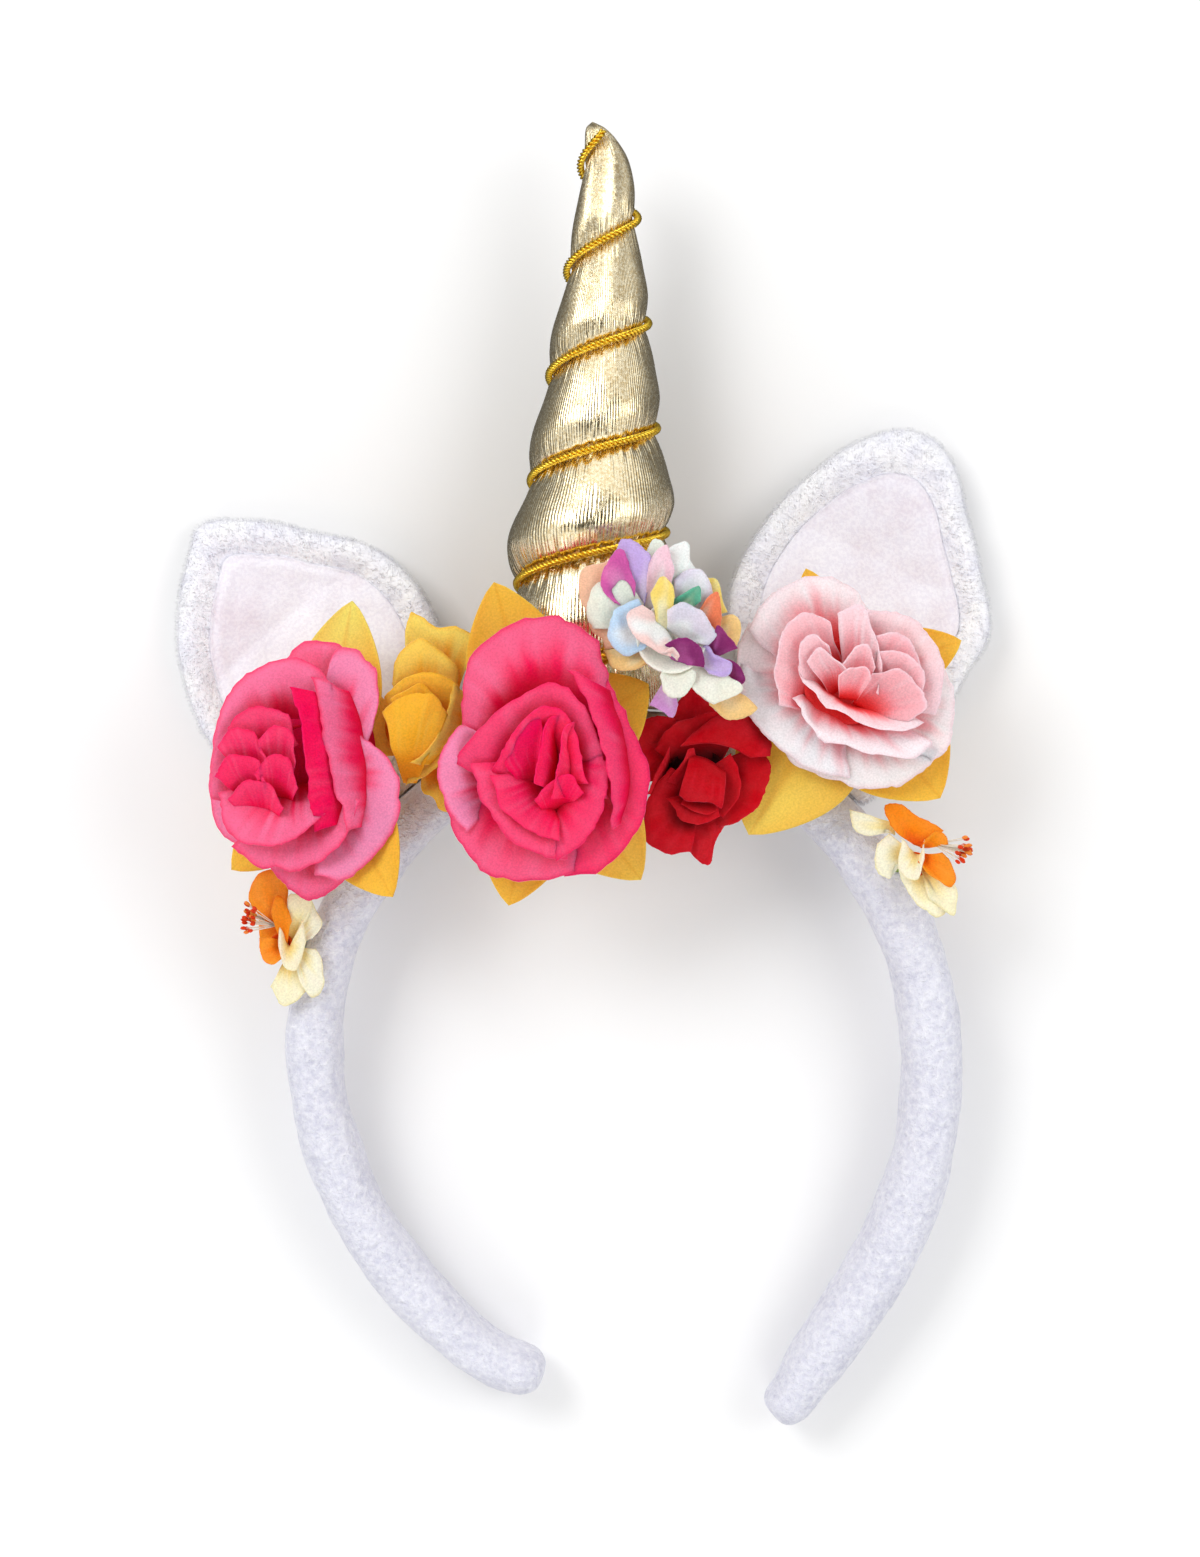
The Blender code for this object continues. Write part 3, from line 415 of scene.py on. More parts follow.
         ((2, 62, 30), (20, 74, 34), (40, 58, 32), (44, 32, 28)), 5, 40, 0, 0, 14),
        (((-30, 10, 10), (-20, 25, 10)),
         ((-84, 10, 28), (-90, 36, 32), (-78, 60, 32), (-46, 62, 30)), 6, 40, 0, 0, 12),
        (((-35, 0, 4), (-35, 35, 4)),
         ((-70, -12, 20), (-86, 16, 22), (-98, 50, 24), (-96, 74, 26), (-62, 84, 26)), 5, 30, 0, 0, 0),
        (((-45, 30, 10), (-30, 25, 10)),
         ((-62, 88, 32), (-52, 107, 34), (-34, 100, 34), (-22, 78, 32), (-28, 46, 26)), 5, 40, 0, 0, 1),
        (((-50, 34, 12), (-40, 30, 12)),
         ((-60, 38, 34), (-74, 55, 38), (-72, 74, 38), (-56, 94, 38), (-40, 58, 34)), 4, 40, 0, 0, 2),
        (((-10, 20, 6), (15, 20, 6)),
         ((-10, 90, 26), (0, 100, 28), (16, 102, 28), (22, 80, 26), (40, 54, 24)), 5, 20, 0, 0, 3),
        (((20, 30, 4), (30, 20, 4)),
         ((26, 64, 18), (48, 65, 20), (52, 46, 20), (62, 30, 18)), 3, 20, 0, 0, 4),
        (((30, 5, 4), (35, -5, 4)),
         ((50, 20, 18), (68, 24, 20), (74, 5, 20), (66, -14, 18)), 3, 20, 0, 0, 5),
        (((30, -40, 6), (50, -40, 6)),
         ((40, -72, 18), (60, -86, 20), (82, -84, 20), (92, -74, 20), (74, -58, 18)), 4, 30, 0, 0, 5),
        (((-5, -40, 4), (5, -40, 4)),
         ((-22, -70, 16), (-12, -80, 18), (0, -86, 18), (8, -70, 16)), 3, 20, 0, 0, 6),
        (((-40, -5, 6), (-25, -10, 6)),
         ((-74, -14, 20), (-62, -30, 22), (-42, -34, 22), (-26, -26, 20)), 4, 30, 0, 0, 5),
        (((-30, 45, 8), (-15, 45, 8)),
         ((-28, 90, 22), (-20, 106, 24), (-10, 104, 24), (-6, 86, 22)), 3, 30, 0, 0, 7),
    ),
    "flower_pastel_petals_middle": (
        (((-30, 30, 14), (-5, 30, 14)),
         ((-24, 80, 36), (-14, 96, 40), (-6, 98, 40), (2, 72, 36)), 4, 30, 0, 0, 8),
        (((18, 12, 12), (28, 4, 12)),
         ((26, 22, 34), (38, 42, 38), (48, 48, 38), (54, 28, 36), (50, 10, 30)), 4, 40, 0, 0, 9),
        (((0, 28, 20), (15, 28, 20)),
         ((-4, 36, 36), (10, 46, 40), (28, 54, 42), (30, 38, 40)), 3, 20, 0, 0, 10),
        (((-25, 20, 14), (-20, 0, 14)),
         ((-36, 42, 36), (-60, 30, 40), (-67, 2, 40), (-52, -16, 38), (-30, -12, 34)), 5, 40, 0, 0, 11),
        (((-5, -25, 14), (15, -28, 14)),
         ((-14, -42, 34), (-8, -62, 36), (8, -65, 36), (22, -50, 36), (26, -36, 32)), 4, 30, 0, 0, 12),
        (((12, -26, 14), (35, -28, 14)),
         ((20, -48, 34), (40, -70, 36), (60, -64, 36), (75, -56, 34), (62, -40, 32)), 4, 30, 0, 0, 12),
        (((28, -12, 14), (30, -26, 14)),
         ((36, -8, 34), (52, -20, 38), (64, -28, 38), (60, -40, 36), (40, -38, 32)), 4, 30, 0, 0, 1),
        (((38, -12, 16), (46, -20, 16)),
         ((42, -6, 36), (50, 13, 42), (58, 0, 40), (70, -12, 36)), 3, 30, 0, 0, 13),
        (((48, -26, 10), (50, -38, 10)),
         ((58, -24, 24), (72, -28, 26), (79, -44, 26), (72, -52, 24)), 3, 30, 0, 0, 13),
    ),
    "flower_pastel_petals_inner": (
        (((-15, 5, 20), (0, 10, 20)),
         ((-22, 48, 44), (-13, 64, 48), (-4, 66, 48), (3, 44, 44)), 4, 30, 0, 0, 4),
        (((-5, 10, 20), (20, -5, 20)),
         ((-4, 30, 42), (12, 36, 46), (28, 30, 46), (38, 16, 44), (48, 4, 40), (40, -6, 36)), 5, 30, 0, 0,
         14),
        (((-12, 20, 22), (0, 0, 22)),
         ((-30, 36, 44), (-46, 26, 48), (-44, 8, 50), (-26, -10, 50), (-2, -20, 46)), 5, 40, 0, 0, 15),
        (((0, -22, 22), (14, -28, 22)),
         ((-9, -10, 44), (8, 0, 48), (23, -4, 48), (33, -18, 48), (32, -33, 42)), 4, 40, 0, 0, 13),
        (((-2, -18, 26), (6, -22, 26)),
         ((-10, -18, 48), (0, -12, 52), (5, -18, 50), (4, -26, 46)), 2, 30, 0, 0, 15),
    ),
    "blossom_left_petals_outer": (
        (((50, 15, 15), (62, 5, 10)),
         ((52, 56, 36), (58, 92, 42), (80, 92, 40), (96, 80, 32), (88, 45, 30)), 6, 30, 55, 70),
        (((58, 6, 10), (64, -4, 10)),
         ((92, 84, 26), (110, 62, 26), (115, 36, 24), (98, 14, 22)), 5, 30, 90, 50),
        (((62, -2, 10), (72, -2, 10)),
         ((66, -34, 28), (76, -66, 30), (95, -92, 30), (116, -82, 30), (118, -42, 28), (104, -6, 24)), 6, 30,
         95, 30),
        (((50, -20, 5), (62, -20, 5)),
         ((20, -76, 16), (34, -94, 20), (50, -106, 20), (70, -100, 20), (86, -76, 20), (80, -46, 18)), 5, 40,
         60, 80),
        (((50, 12, 15), (56, -6, 15)),
         ((42, 42, 40), (43, 0, 44), (48, -40, 42), (70, -44, 42), (88, 6, 42), (82, 46, 40)), 8, 30, 75, 50),
    ),
    "blossom_left_petals_inner": (
        (((45, 10, -10), (45, -10, -10)),
         ((0, 75, -10), (-6, 40, -12), (6, 0, -12)), 4, 30, 10, 100),
        (((38, 25, 10), (52, 20, 10)),
         ((-10, 70, 42), (-14, 100, 46), (2, 130, 42), (30, 136, 38), (52, 116, 34), (55, 76, 28)), 10, 30,
         25, 50),
        (((45, 10, 10), (45, -5, 10)),
         ((6, 16, 38), (8, -22, 42), (26, -34, 42), (43, -22, 36)), 6, 30, 25, 50),
        (((42, 2, 14), (52, 0, 14)),
         ((28, 62, 48), (36, 92, 52), (50, 86, 50), (60, 42, 44)), 8, 30, 10, 30),
    ),
    "blossom_right_petals_outer": (
        (((-60, 50, 10), (-60, 70, 10)),
         ((-76, 60, 14), (-100, 50, 16), (-124, 58, 16), (-132, 92, 14)), 5, 30, 80, 50),
        (((-40, 30, 10), (-45, 10, 10)),
         ((-68, 52, 22), (-90, 32, 24), (-88, 2, 24), (-72, -22, 22), (-60, 2, 22)), 5, 30, 90, 50),
        (((-35, 5, 12), (-20, -5, 12)),
         ((-58, 2, 24), (-46, -32, 28), (-26, -62, 30), (4, -82, 30), (20, -74, 30), (6, -40, 30)), 6, 30, 75,
         70),
        (((-20, 0, 14), (-8, 4, 14)),
         ((-5, -52, 34), (18, -74, 36), (34, -78, 36), (38, -46, 38), (32, -26, 38)), 6, 30, 60, 70),
        (((-34, 26, 18), (-20, 16, 18)),
         ((-56, 40, 40), (-54, 2, 44), (-42, -22, 46), (-24, -18, 46), (-18, 10, 46), (-12, 44, 42)), 7, 30,
         90, 40),
    ),
    "blossom_right_petals_inner": (
        (((-30, 35, 20), (-15, 30, 20)),
         ((-74, 62, 32), (-75, 100, 30), (-42, 92, 34), (-10, 72, 40), (12, 54, 44)), 6, 20, 0, 90),
        (((-20, 30, 22), (-8, 30, 22)),
         ((-12, 44, 44), (6, 58, 50), (20, 50, 52), (20, 34, 50)), 6, 30, 20, 50),
        (((-28, 12, 20), (-12, 20, 20)),
         ((-20, 2, 44), (4, -20, 48), (27, -33, 48), (33, -10, 50), (26, 4, 50), (12, 22, 48)), 7, 30, 20,
         50),
    ),
}
TINTS = {
    # deep colour of the painted shade at a petal's or leaf's base, then face, pale and rim colours, as sRGB
    "pink": ((204, 0, 44), (255, 6, 86), (246, 138, 178), (255, 14, 88)),
    "yellow": ((240, 116, 8), (255, 174, 38), (255, 214, 104), (255, 176, 44)),
    "red": ((48, 0, 4), (190, 6, 22), (226, 44, 64), (206, 14, 32)),
    "blush": ((255, 62, 62), (255, 156, 164), (255, 244, 249), (255, 214, 224)),
    "cream": ((250, 196, 84), (252, 230, 168), (252, 242, 214), (250, 228, 160)),
    "orange": ((228, 84, 8), (250, 136, 20), (255, 178, 72), (246, 116, 20)),
    "leaf": ((220, 140, 24), (243, 188, 66), (240, 224, 116), (236, 170, 50)),
}
PASTELS = (
    # base and tip colours, as sRGB
    ((250, 246, 234), (252, 190, 160)),
    ((226, 206, 238), (190, 168, 226)),
    ((232, 160, 200), (206, 92, 164)),
    ((176, 222, 206), (246, 248, 246)),
    ((254, 238, 190), (252, 214, 116)),
    ((252, 226, 180), (250, 200, 134)),
    ((226, 196, 232), (204, 150, 210)),
    ((208, 236, 214), (236, 244, 230)),
    ((252, 232, 238), (248, 196, 210)),
    ((252, 226, 206), (244, 130, 92)),
    ((190, 222, 190), (84, 168, 140)),
    ((238, 244, 252), (186, 216, 250)),
    ((248, 246, 230), (240, 240, 222)),
    ((168, 84, 150), (126, 40, 104)),
    ((246, 246, 248), (222, 214, 232)),
    ((250, 250, 248), (252, 206, 200)),
)
PASTEL_FOOT = PASTELS[12][0]
STAMEN_COUNT = 30
STAMEN_SIDES = 6
STAMEN_LENGTHS = (0.0070, 0.0095)
STAMEN_PROFILE = (
    # height as a share of the thread's length, radius
    (0.0, 0.00012), (0.82, 0.00011), (0.85, 0.00030), (0.91, 0.00046), (0.97, 0.00036), (1.0, 0.00006),
)
STAMEN_TINTS = ((250, 236, 214), (246, 140, 60), (214, 60, 24))  # the thread, and its grain's two colours
GRAIN_FROM = 0.84  # where the grain starts along the thread
GOLDEN_ANGLE = 2.39996
STAMENS = {
    # where the tuft starts, as shares of the flower's radius from its middle, and its direction
    "blossom_left": ((0.34, 0.36, 0.20), (-0.90, 0.30, 0.50)),
    "blossom_right": ((0.00, 0.36, 0.36), (0.92, -0.20, 0.35)),
}

# Stage
FLOOR_SIZE = 6.0
FLOOR_LEVEL = -0.0004
SKY_STRENGTH = 1.25
SKY = (
    # direction from 0, straight down, to 1, straight up, and how bright it is
    (0.0, 0.10), (0.50, 0.22), (0.64, 0.50), (0.74, 1.0), (0.88, 1.0), (0.935, 0.16), (1.0, 0.03),
)
LIGHTS = (
    # name, place, size and power
    ("key", (-0.55, 0.45, 0.85), 0.5, 4.2),
    ("fill", (0.60, 0.10, 0.75), 0.5, 1.6),
    ("low", (0.05, -0.75, 0.60), 0.4, 0.8),
)


# Shared helpers


def smooth_row(rows, x):
    """The other columns of a table at x, on a smooth curve through its rows."""
    last = len(rows) - 2
    i = 0
    while i < last and rows[i + 1][0] < x:
        i += 1
    a, b = rows[i], rows[i + 1]
    before, after = rows[max(i - 1, 0)], rows[min(i + 2, last + 1)]
    span = b[0] - a[0]
    t = min(max((x - a[0]) / span, 0.0), 1.0)
    result = []
    for k in range(1, len(a)):
        slope_a = (b[k] - before[k]) / (b[0] - before[0]) * span
        slope_b = (after[k] - a[k]) / (after[0] - a[0]) * span
        h = t * t * (3 - 2 * t)
        result.append(a[k] + (b[k] - a[k]) * h + (slope_a * (1 - t) - slope_b * t) * t * (1 - t))
    return result


def ease(x, low, high):
    """0 up to low, 1 from high, and smooth between."""
    t = np.clip((x - low) / (high - low), 0.0, 1.0)
    return t * t * (3 - 2 * t)


def soft_noise(points, size, seed, waves=16):
    """A smooth field of about -1 to 1 with features of one size, the same each time for a seed."""
    draw = np.random.default_rng(seed)
    total = np.zeros(points.shape[:-1])
    for _ in range(waves):
        way = draw.normal(size=3)
        way *= math.tau / size * draw.uniform(0.6, 1.4) / np.linalg.norm(way)
        total += np.sin(points @ way + draw.uniform(0, math.tau))
    return total / math.sqrt(waves)


def linear(colour):
    """An sRGB colour of 0 to 255 as linear light."""
    share = np.array(colour, float) / 255.0
    return np.where(share <= 0.04045, share / 12.92, ((share + 0.055) / 1.055) ** 2.4)


def grid_faces(rows, columns, closed=False):
    """The quads of a grid of points, whose last column joins the first where it is closed."""
    i, j = np.meshgrid(np.arange(rows - 1), np.arange(columns if closed else columns - 1), indexing="ij")
    k = (j + 1) % columns
    quads = (i * columns + j, i * columns + k, (i + 1) * columns + k, (i + 1) * columns + j)
    return np.stack(quads, -1).reshape(-1, 4)


class Cloths:
    """Collects grids of points, with values at each point, into one mesh."""

    def __init__(self):
        self.points, self.faces, self.colours, self.count = [], [], [], 0

    def add(self, points, colours=None, closed=False):
        rows, columns = points.shape[:2]
        self.faces.append(grid_faces(rows, columns, closed) + self.count)
        self.points.append(points.reshape(-1, 3))
        if colours is not None:
            self.colours.append(colours.reshape(-1, 3))
        self.count += rows * columns

    def made(self, name, look, thickness=0.0):
        mesh = bpy.data.meshes.new(name)
        places = np.concatenate(self.points) + RING_CENTRE
        mesh.from_pydata(places.tolist(), [], np.concatenate(self.faces).tolist())
        if self.colours:
            tint = mesh.color_attributes.new("tint", "FLOAT_COLOR", "POINT")
            rgba = np.ones((self.count, 4), np.float32)
            rgba[:, :3] = np.concatenate(self.colours)
            tint.data.foreach_set("color", rgba.ravel())
        mesh.shade_smooth()
        obj = bpy.data.objects.new(name, mesh)
        bpy.context.scene.collection.objects.link(obj)
        mesh.materials.append(look)
        if thickness:
            solidify = obj.modifiers.new("Solidify", "SOLIDIFY")
            solidify.thickness = thickness
            solidify.offset = 0.0
        return obj


def placed(obj, slot_name, *nodes):
    """The piece rides on the one body and stands for its nodes, which it hides; slot_name is not used."""
    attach(obj, "root")
    if nodes:
        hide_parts(*nodes)
    return obj


# Materials


def new_material(name):
    made = bpy.data.materials.new(name)
    made.use_nodes = True
    return made, made.node_tree, made.node_tree.nodes["Principled BSDF"]


def node(tree, kind, settings=None, **inputs):
    """A shader node, with its settings, and its inputs as values or as other nodes' outputs."""
    made = tree.nodes.new("ShaderNode" + kind)
    for key, value in (settings or {}).items():
        setattr(made, key, value)
    for key, value in inputs.items():
        socket = made.inputs[int(key[1:])] if key[0] == "_" else made.inputs[key]
        if isinstance(value, bpy.types.NodeSocket):
            tree.links.new(value, socket)
        else:
            socket.default_value = value
    return made


def place_of(tree):
    return node(tree, "TexCoord").outputs["Object"]


def noise_of(tree, scale, detail=3.0, roughness=0.55, vector=None):
    made = node(tree, "TexNoise", Scale=scale, Detail=detail, Roughness=roughness,
                Vector=vector or place_of(tree))
    return made.outputs["Fac"]


def ramp(tree, value, stops):
    """A colour ramp through stops of a place and a colour."""
    made = node(tree, "ValToRGB", Fac=value)
    elements = made.color_ramp.elements
    while len(elements) < len(stops):
        elements.new(0.5)
    for element, (place, colour) in zip(elements, stops):
        element.position = place
        element.color = (*colour, 1.0)
    return made.outputs["Color"]


def mixed(tree, share, first, second, blend="MIX"):
    made = tree.nodes.new("ShaderNodeMix")
    made.data_type = "RGBA"
    made.blend_type = blend
    for socket, value in ((made.inputs[0], share), (made.inputs[6], first), (made.inputs[7], second)):
        if isinstance(value, bpy.types.NodeSocket):
            tree.links.new(value, socket)
        elif isinstance(value, float):
            socket.default_value = value
        else:
            socket.default_value = (*value, 1.0)
    return made.outputs[2]


def math_of(tree, operation, first, second=0.0):
    return node(tree, "Math", dict(operation=operation), _0=first, _1=second).outputs[0]


def bump_of(tree, height, distance, strength=1.0, normal=None):
    made = node(tree, "Bump", Height=height, Distance=distance, Strength=strength)
    if normal is not None:
        tree.links.new(normal, made.inputs["Normal"])
    return made.outputs["Normal"]


def velvet_look():
    made, tree, shader = new_material("velvet")
    crush = noise_of(tree, 95.0, 5.0, 0.62)
    fibres = ramp_value(tree, noise_of(tree, 620.0, 3.0, 0.75), 0.0, 1.0)
    shade = ramp(tree, crush, ((0.30, linear((198, 198, 217))), (0.66, linear((217, 217, 232)))))
    # painted glints: the fine fibre noise mixes the colour towards near-white in specks, standing in for the
    # crushed pile's highlights; the same noise also bumps the pile
    tree.links.new(mixed(tree, fibres, shade, linear((240, 240, 248))), shader.inputs["Base Color"])
    shader.inputs["Roughness"].default_value = 0.85
    shader.inputs["Sheen Weight"].default_value = 0.25
    shader.inputs["Sheen Roughness"].default_value = 0.45
    rough = bump_of(tree, crush, 0.0016, 0.9)
    tree.links.new(bump_of(tree, fibres, 0.00045, 0.9, rough), shader.inputs["Normal"])
    return made


def plush_look(name, dark, light):
    made, tree, shader = new_material(name)
    tufts = noise_of(tree, 160.0, 4.0, 0.6)
    shade = ramp(tree, tufts, ((0.32, linear(dark)), (0.68, linear(light))))
    tree.links.new(shade, shader.inputs["Base Color"])
    shader.inputs["Roughness"].default_value = 0.9
    shader.inputs["Sheen Weight"].default_value = 0.15
    tree.links.new(bump_of(tree, noise_of(tree, 900.0, 3.0, 0.7), 0.0005, 0.8), shader.inputs["Normal"])
    return made


def panel_look():
    """A white cloth with a fine cross weave; its shimmer is real sheen plus painted glints, bright specks
    mixed into its colour.
    """
    made, tree, shader = new_material("ear_panel")
    soft = noise_of(tree, 60.0, 4.0, 0.6)
    glints_and_grain = noise_of(tree, 1300.0, 2.0, 0.6)
    shade = ramp(tree, soft, ((0.30, linear((226, 216, 226))), (0.50, linear((236, 233, 243))),
                              (0.72, linear((246, 245, 252)))))
    # painted glints: a fifth of the colour comes from a fine noise running from grey to near-white, standing
    # in for the cloth's sparkle; the same noise bumps the cloth
    tree.links.new(mixed(tree, 0.20, shade, ramp(tree, glints_and_grain, ((0.42, linear((214, 208, 220))),
                                                                (0.58, linear((255, 254, 255)))))),
                   shader.inputs["Base Color"])
    shader.inputs["Roughness"].default_value = 0.42
    shader.inputs["Sheen Weight"].default_value = 0.3
    tree.links.new(bump_of(tree, glints_and_grain, 0.0002, 0.7), shader.inputs["Normal"])
    return made


def lame_look():
    """Pale gold lamé: fine ribs along the cloth, and small facets that catch the light."""
    made, tree, shader = new_material("gold_cloth")
    ribs = node(tree, "TexWave", dict(bands_direction="X"), Scale=46.0, Distortion=1.2, Detail=2.0,
                Vector=node(tree, "UVMap", dict(uv_map="cloth")).outputs[0]).outputs["Fac"]
    grain = noise_of(tree, 1500.0, 2.0, 0.65)
    flakes = node(tree, "TexVoronoi", Scale=1100.0, Vector=place_of(tree))
    facet = math_of(tree, "MULTIPLY", flakes.outputs["Color"], 1.0)
    tint = ramp(tree, grain, ((0.35, linear((222, 198, 150))), (0.62, linear((252, 240, 206)))))
    tree.links.new(tint, shader.inputs["Base Color"])
    shader.inputs["Metallic"].default_value = 1.0
    tree.links.new(ramp_value(tree, grain, 0.12, 0.30), shader.inputs["Roughness"])
    first = bump_of(tree, ribs, 0.00012, 0.45)
    second = bump_of(tree, facet, 0.00007, 0.35, first)
    tree.links.new(bump_of(tree, grain, 0.00007, 0.4, second), shader.inputs["Normal"])
    return made


def ramp_value(tree, value, low, high):
    """The middle part of a noise, stretched from low to high."""
    return node(tree, "MapRange", {}, _0=value, _1=0.3, _2=0.7, _3=low, _4=high).outputs[0]


def cord_look():
    made, tree, shader = new_material("gold_cord")
    grain = noise_of(tree, 2600.0, 2.0, 0.6)
    tint = ramp(tree, grain, ((0.35, linear((214, 160, 24))), (0.65, linear((255, 226, 90)))))
    tree.links.new(tint, shader.inputs["Base Color"])
    shader.inputs["Metallic"].default_value = 1.0
    shader.inputs["Roughness"].default_value = 0.30
    tree.links.new(bump_of(tree, grain, 0.00012, 0.6), shader.inputs["Normal"])
    return made


def petal_look(name, weave=0.4):
    """Petal cloth: its colours are in the mesh, and the weave and small creases are here."""
    made, tree, shader = new_material(name)
    tint = node(tree, "VertexColor", dict(layer_name="tint")).outputs["Color"]
    mottle = noise_of(tree, 210.0, 4.0, 0.6)
    threads = noise_of(tree, 2300.0, 1.0, 0.5)
    lighter = mixed(tree, ramp_value(tree, mottle, 0.0, 0.012), tint, (1.0, 0.98, 0.98))
    darker = mixed(tree, ramp_value(tree, threads, 0.0, 0.16), lighter, (0.0, 0.0, 0.0), "MULTIPLY")
    tree.links.new(darker, shader.inputs["Base Color"])
    shader.inputs["Roughness"].default_value = 0.72
    shader.inputs["Specular IOR Level"].default_value = 0.02
    shader.inputs["Subsurface Weight"].default_value = 0.6
    shader.inputs["Subsurface Radius"].default_value = (1.0, 0.7, 0.7)
    shader.inputs["Subsurface Scale"].default_value = 0.0015
    creases = bump_of(tree, noise_of(tree, 120.0, 3.0, 0.5), 0.0010, 0.35)
    tree.links.new(bump_of(tree, threads, 0.00012, weave, creases), shader.inputs["Normal"])
    return made


def stem_look():
    made, tree, shader = new_material("stem")
    tint = ramp(tree, noise_of(tree, 300.0), ((0.3, linear((92, 120, 44))), (0.7, linear((140, 168, 70)))))
    tree.links.new(tint, shader.inputs["Base Color"])
    shader.inputs["Roughness"].default_value = 0.6
    tree.links.new(bump_of(tree, noise_of(tree, 1400.0), 0.0003, 0.6), shader.inputs["Normal"])
    return made


# Band


def spine(angle):
    """The middle of the band at an angle: x, y and the band's half thickness."""
    share, thick = smooth_row(BAND_PATH, angle)
    radius = RING_RADIUS * share
    turned = math.radians(angle)
    return radius * math.sin(turned), radius * math.cos(turned), BAND_THICKNESS * thick / 2


def spine_outward(angle):
    before, after = spine(angle - 0.5), spine(angle + 0.5)
    along = Vector((after[0] - before[0], after[1] - before[1], 0.0)).normalized()
    return Vector((-along.y, along.x, 0.0))


TOP_Y = spine(0.0)[1]
LOW_Y = spine(BAND_PATH[0][0])[1]


def lift(y):
    """The height of the band's middle over the surface at y."""
    return BAND_DEPTH / 2 + TOP_RISE * (y - LOW_Y) / (TOP_Y - LOW_Y)


def section_point(angle, side, scale=1.0, shift=0.0):
    """A point of the band's surface. side is 0 outside, 90 in front, 180 inside and 270 at the back."""
    x, y, half = spine(angle)
    out = spine_outward(angle)
    turned = math.radians(side)
    power = 2.0 / BAND_SQUARENESS
    across = half * scale * math.copysign(abs(math.cos(turned)) ** power, math.cos(turned))
    forward = BAND_DEPTH / 2 * scale * math.copysign(abs(math.sin(turned)) ** power, math.sin(turned))
    centre = Vector((x, y, lift(y))) + Vector((out.y, -out.x, 0.0)) * shift
    return centre + out * across + Vector((0.0, 0.0, forward))


def band_facet(angle, side):
    """The middle and the outward direction of the band's flat strip at a side, at an angle."""
    half_step = 180.0 / BAND_SIDES
    first = section_point(angle, side - half_step)
    second = section_point(angle, side + half_step)
    along = spine_outward(angle).cross(Vector((0.0, 0.0, 1.0)))
    return (first + second) / 2, (second - first).cross(along).normalized()


def make_band():
    """A padded velvet tube with a slightly uneven outline and a crushed surface."""
    first, last = BAND_PATH[0][0], BAND_PATH[-1][0]
    stations = [(first, math.cos(math.radians(t)) ** 0.6, -BAND_END_ROUND * math.sin(math.radians(t)))
                for t in BAND_END_ANGLES]
    ends = [(last, scale, -shift) for angle, scale, shift in stations[::-1]]
    stations += [(first + (last - first) * i / BAND_STATIONS, 1.0, 0.0) for i in range(BAND_STATIONS + 1)]
    stations += ends
    sides = np.radians(np.arange(BAND_COLUMNS) * 360.0 / BAND_COLUMNS)
    power = 2.0 / BAND_SQUARENESS
    across = np.sign(np.cos(sides)) * np.abs(np.cos(sides)) ** power
    forward = np.sign(np.sin(sides)) * np.abs(np.sin(sides)) ** power
    rows = []
    for angle, scale, shift in stations:
        x, y, half = spine(angle)
        out = np.array(spine_outward(angle))
        centre = np.array((x, y, lift(y))) + np.array((out[1], -out[0], 0.0)) * shift
        width = half * scale * (1.0 - BAND_NARROWER)
        rows.append(centre + np.outer(across * width, out)
                    + np.outer(forward * BAND_DEPTH / 2 * scale * BAND_FLATTER, (0.0, 0.0, 1.0)))
    points = np.array(rows)
    middle = points.mean(axis=1, keepdims=True)
    outward = points - middle
    outward /= np.linalg.norm(outward, axis=2, keepdims=True) + 1e-9
    dent = sum(soft_noise(points, size, seed) * depth for size, seed, depth in BAND_DENTS)
    points = points + outward * dent[..., None]
    band = Cloths()
    band.add(points, closed=True)
    obj = band.made("band_velvet", velvet_look())
    close_ends(obj, len(rows), BAND_COLUMNS)
    placed(obj, "velvet", "band")


def close_ends(obj, rows, columns):
    """Closes the two end rings of a tube that was made as one grid."""
    mesh = obj.data
    faces = [tuple(p.vertices) for p in mesh.polygons]
    faces.append(tuple(range(columns))[::-1])
    faces.append(tuple(range((rows - 1) * columns, rows * columns)))
    points = [v.co.copy() for v in mesh.vertices]
    look = mesh.materials[0]
    closed = bpy.data.meshes.new(mesh.name)
    closed.from_pydata(points, [], faces)
    closed.shade_smooth()
    closed.materials.append(look)
    obj.data = closed


def clear_of_band(point, clearance=GAP):
    """The point, moved straight out from the ring's centre where it would lie in the band."""
    angle = math.degrees(math.atan2(point[0], point[1]))
    x, y, half = spine(angle)
    least = math.hypot(x, y) + half + clearance
    distance = math.hypot(point[0], point[1])
    if distance < least:
        return Vector((point[0] * least / distance, point[1] * least / distance, point[2]))
    return Vector(point)


# Horn


def horn_axis(height):
    """A point of the horn's axis and its outer radius, at a height along the horn."""
    share, sway = smooth_row(HORN_SHAPE, height / HORN_LENGTH)
    x, y, half = spine(HORN_ANGLE)
    middle_y = y + half + GAP + height
    return np.array((x + HORN_RADIUS * sway, middle_y, lift(middle_y))), HORN_RADIUS * share


def lobe_swell(phase):
    return smooth_row(LOBE_SHAPE, phase)[0]


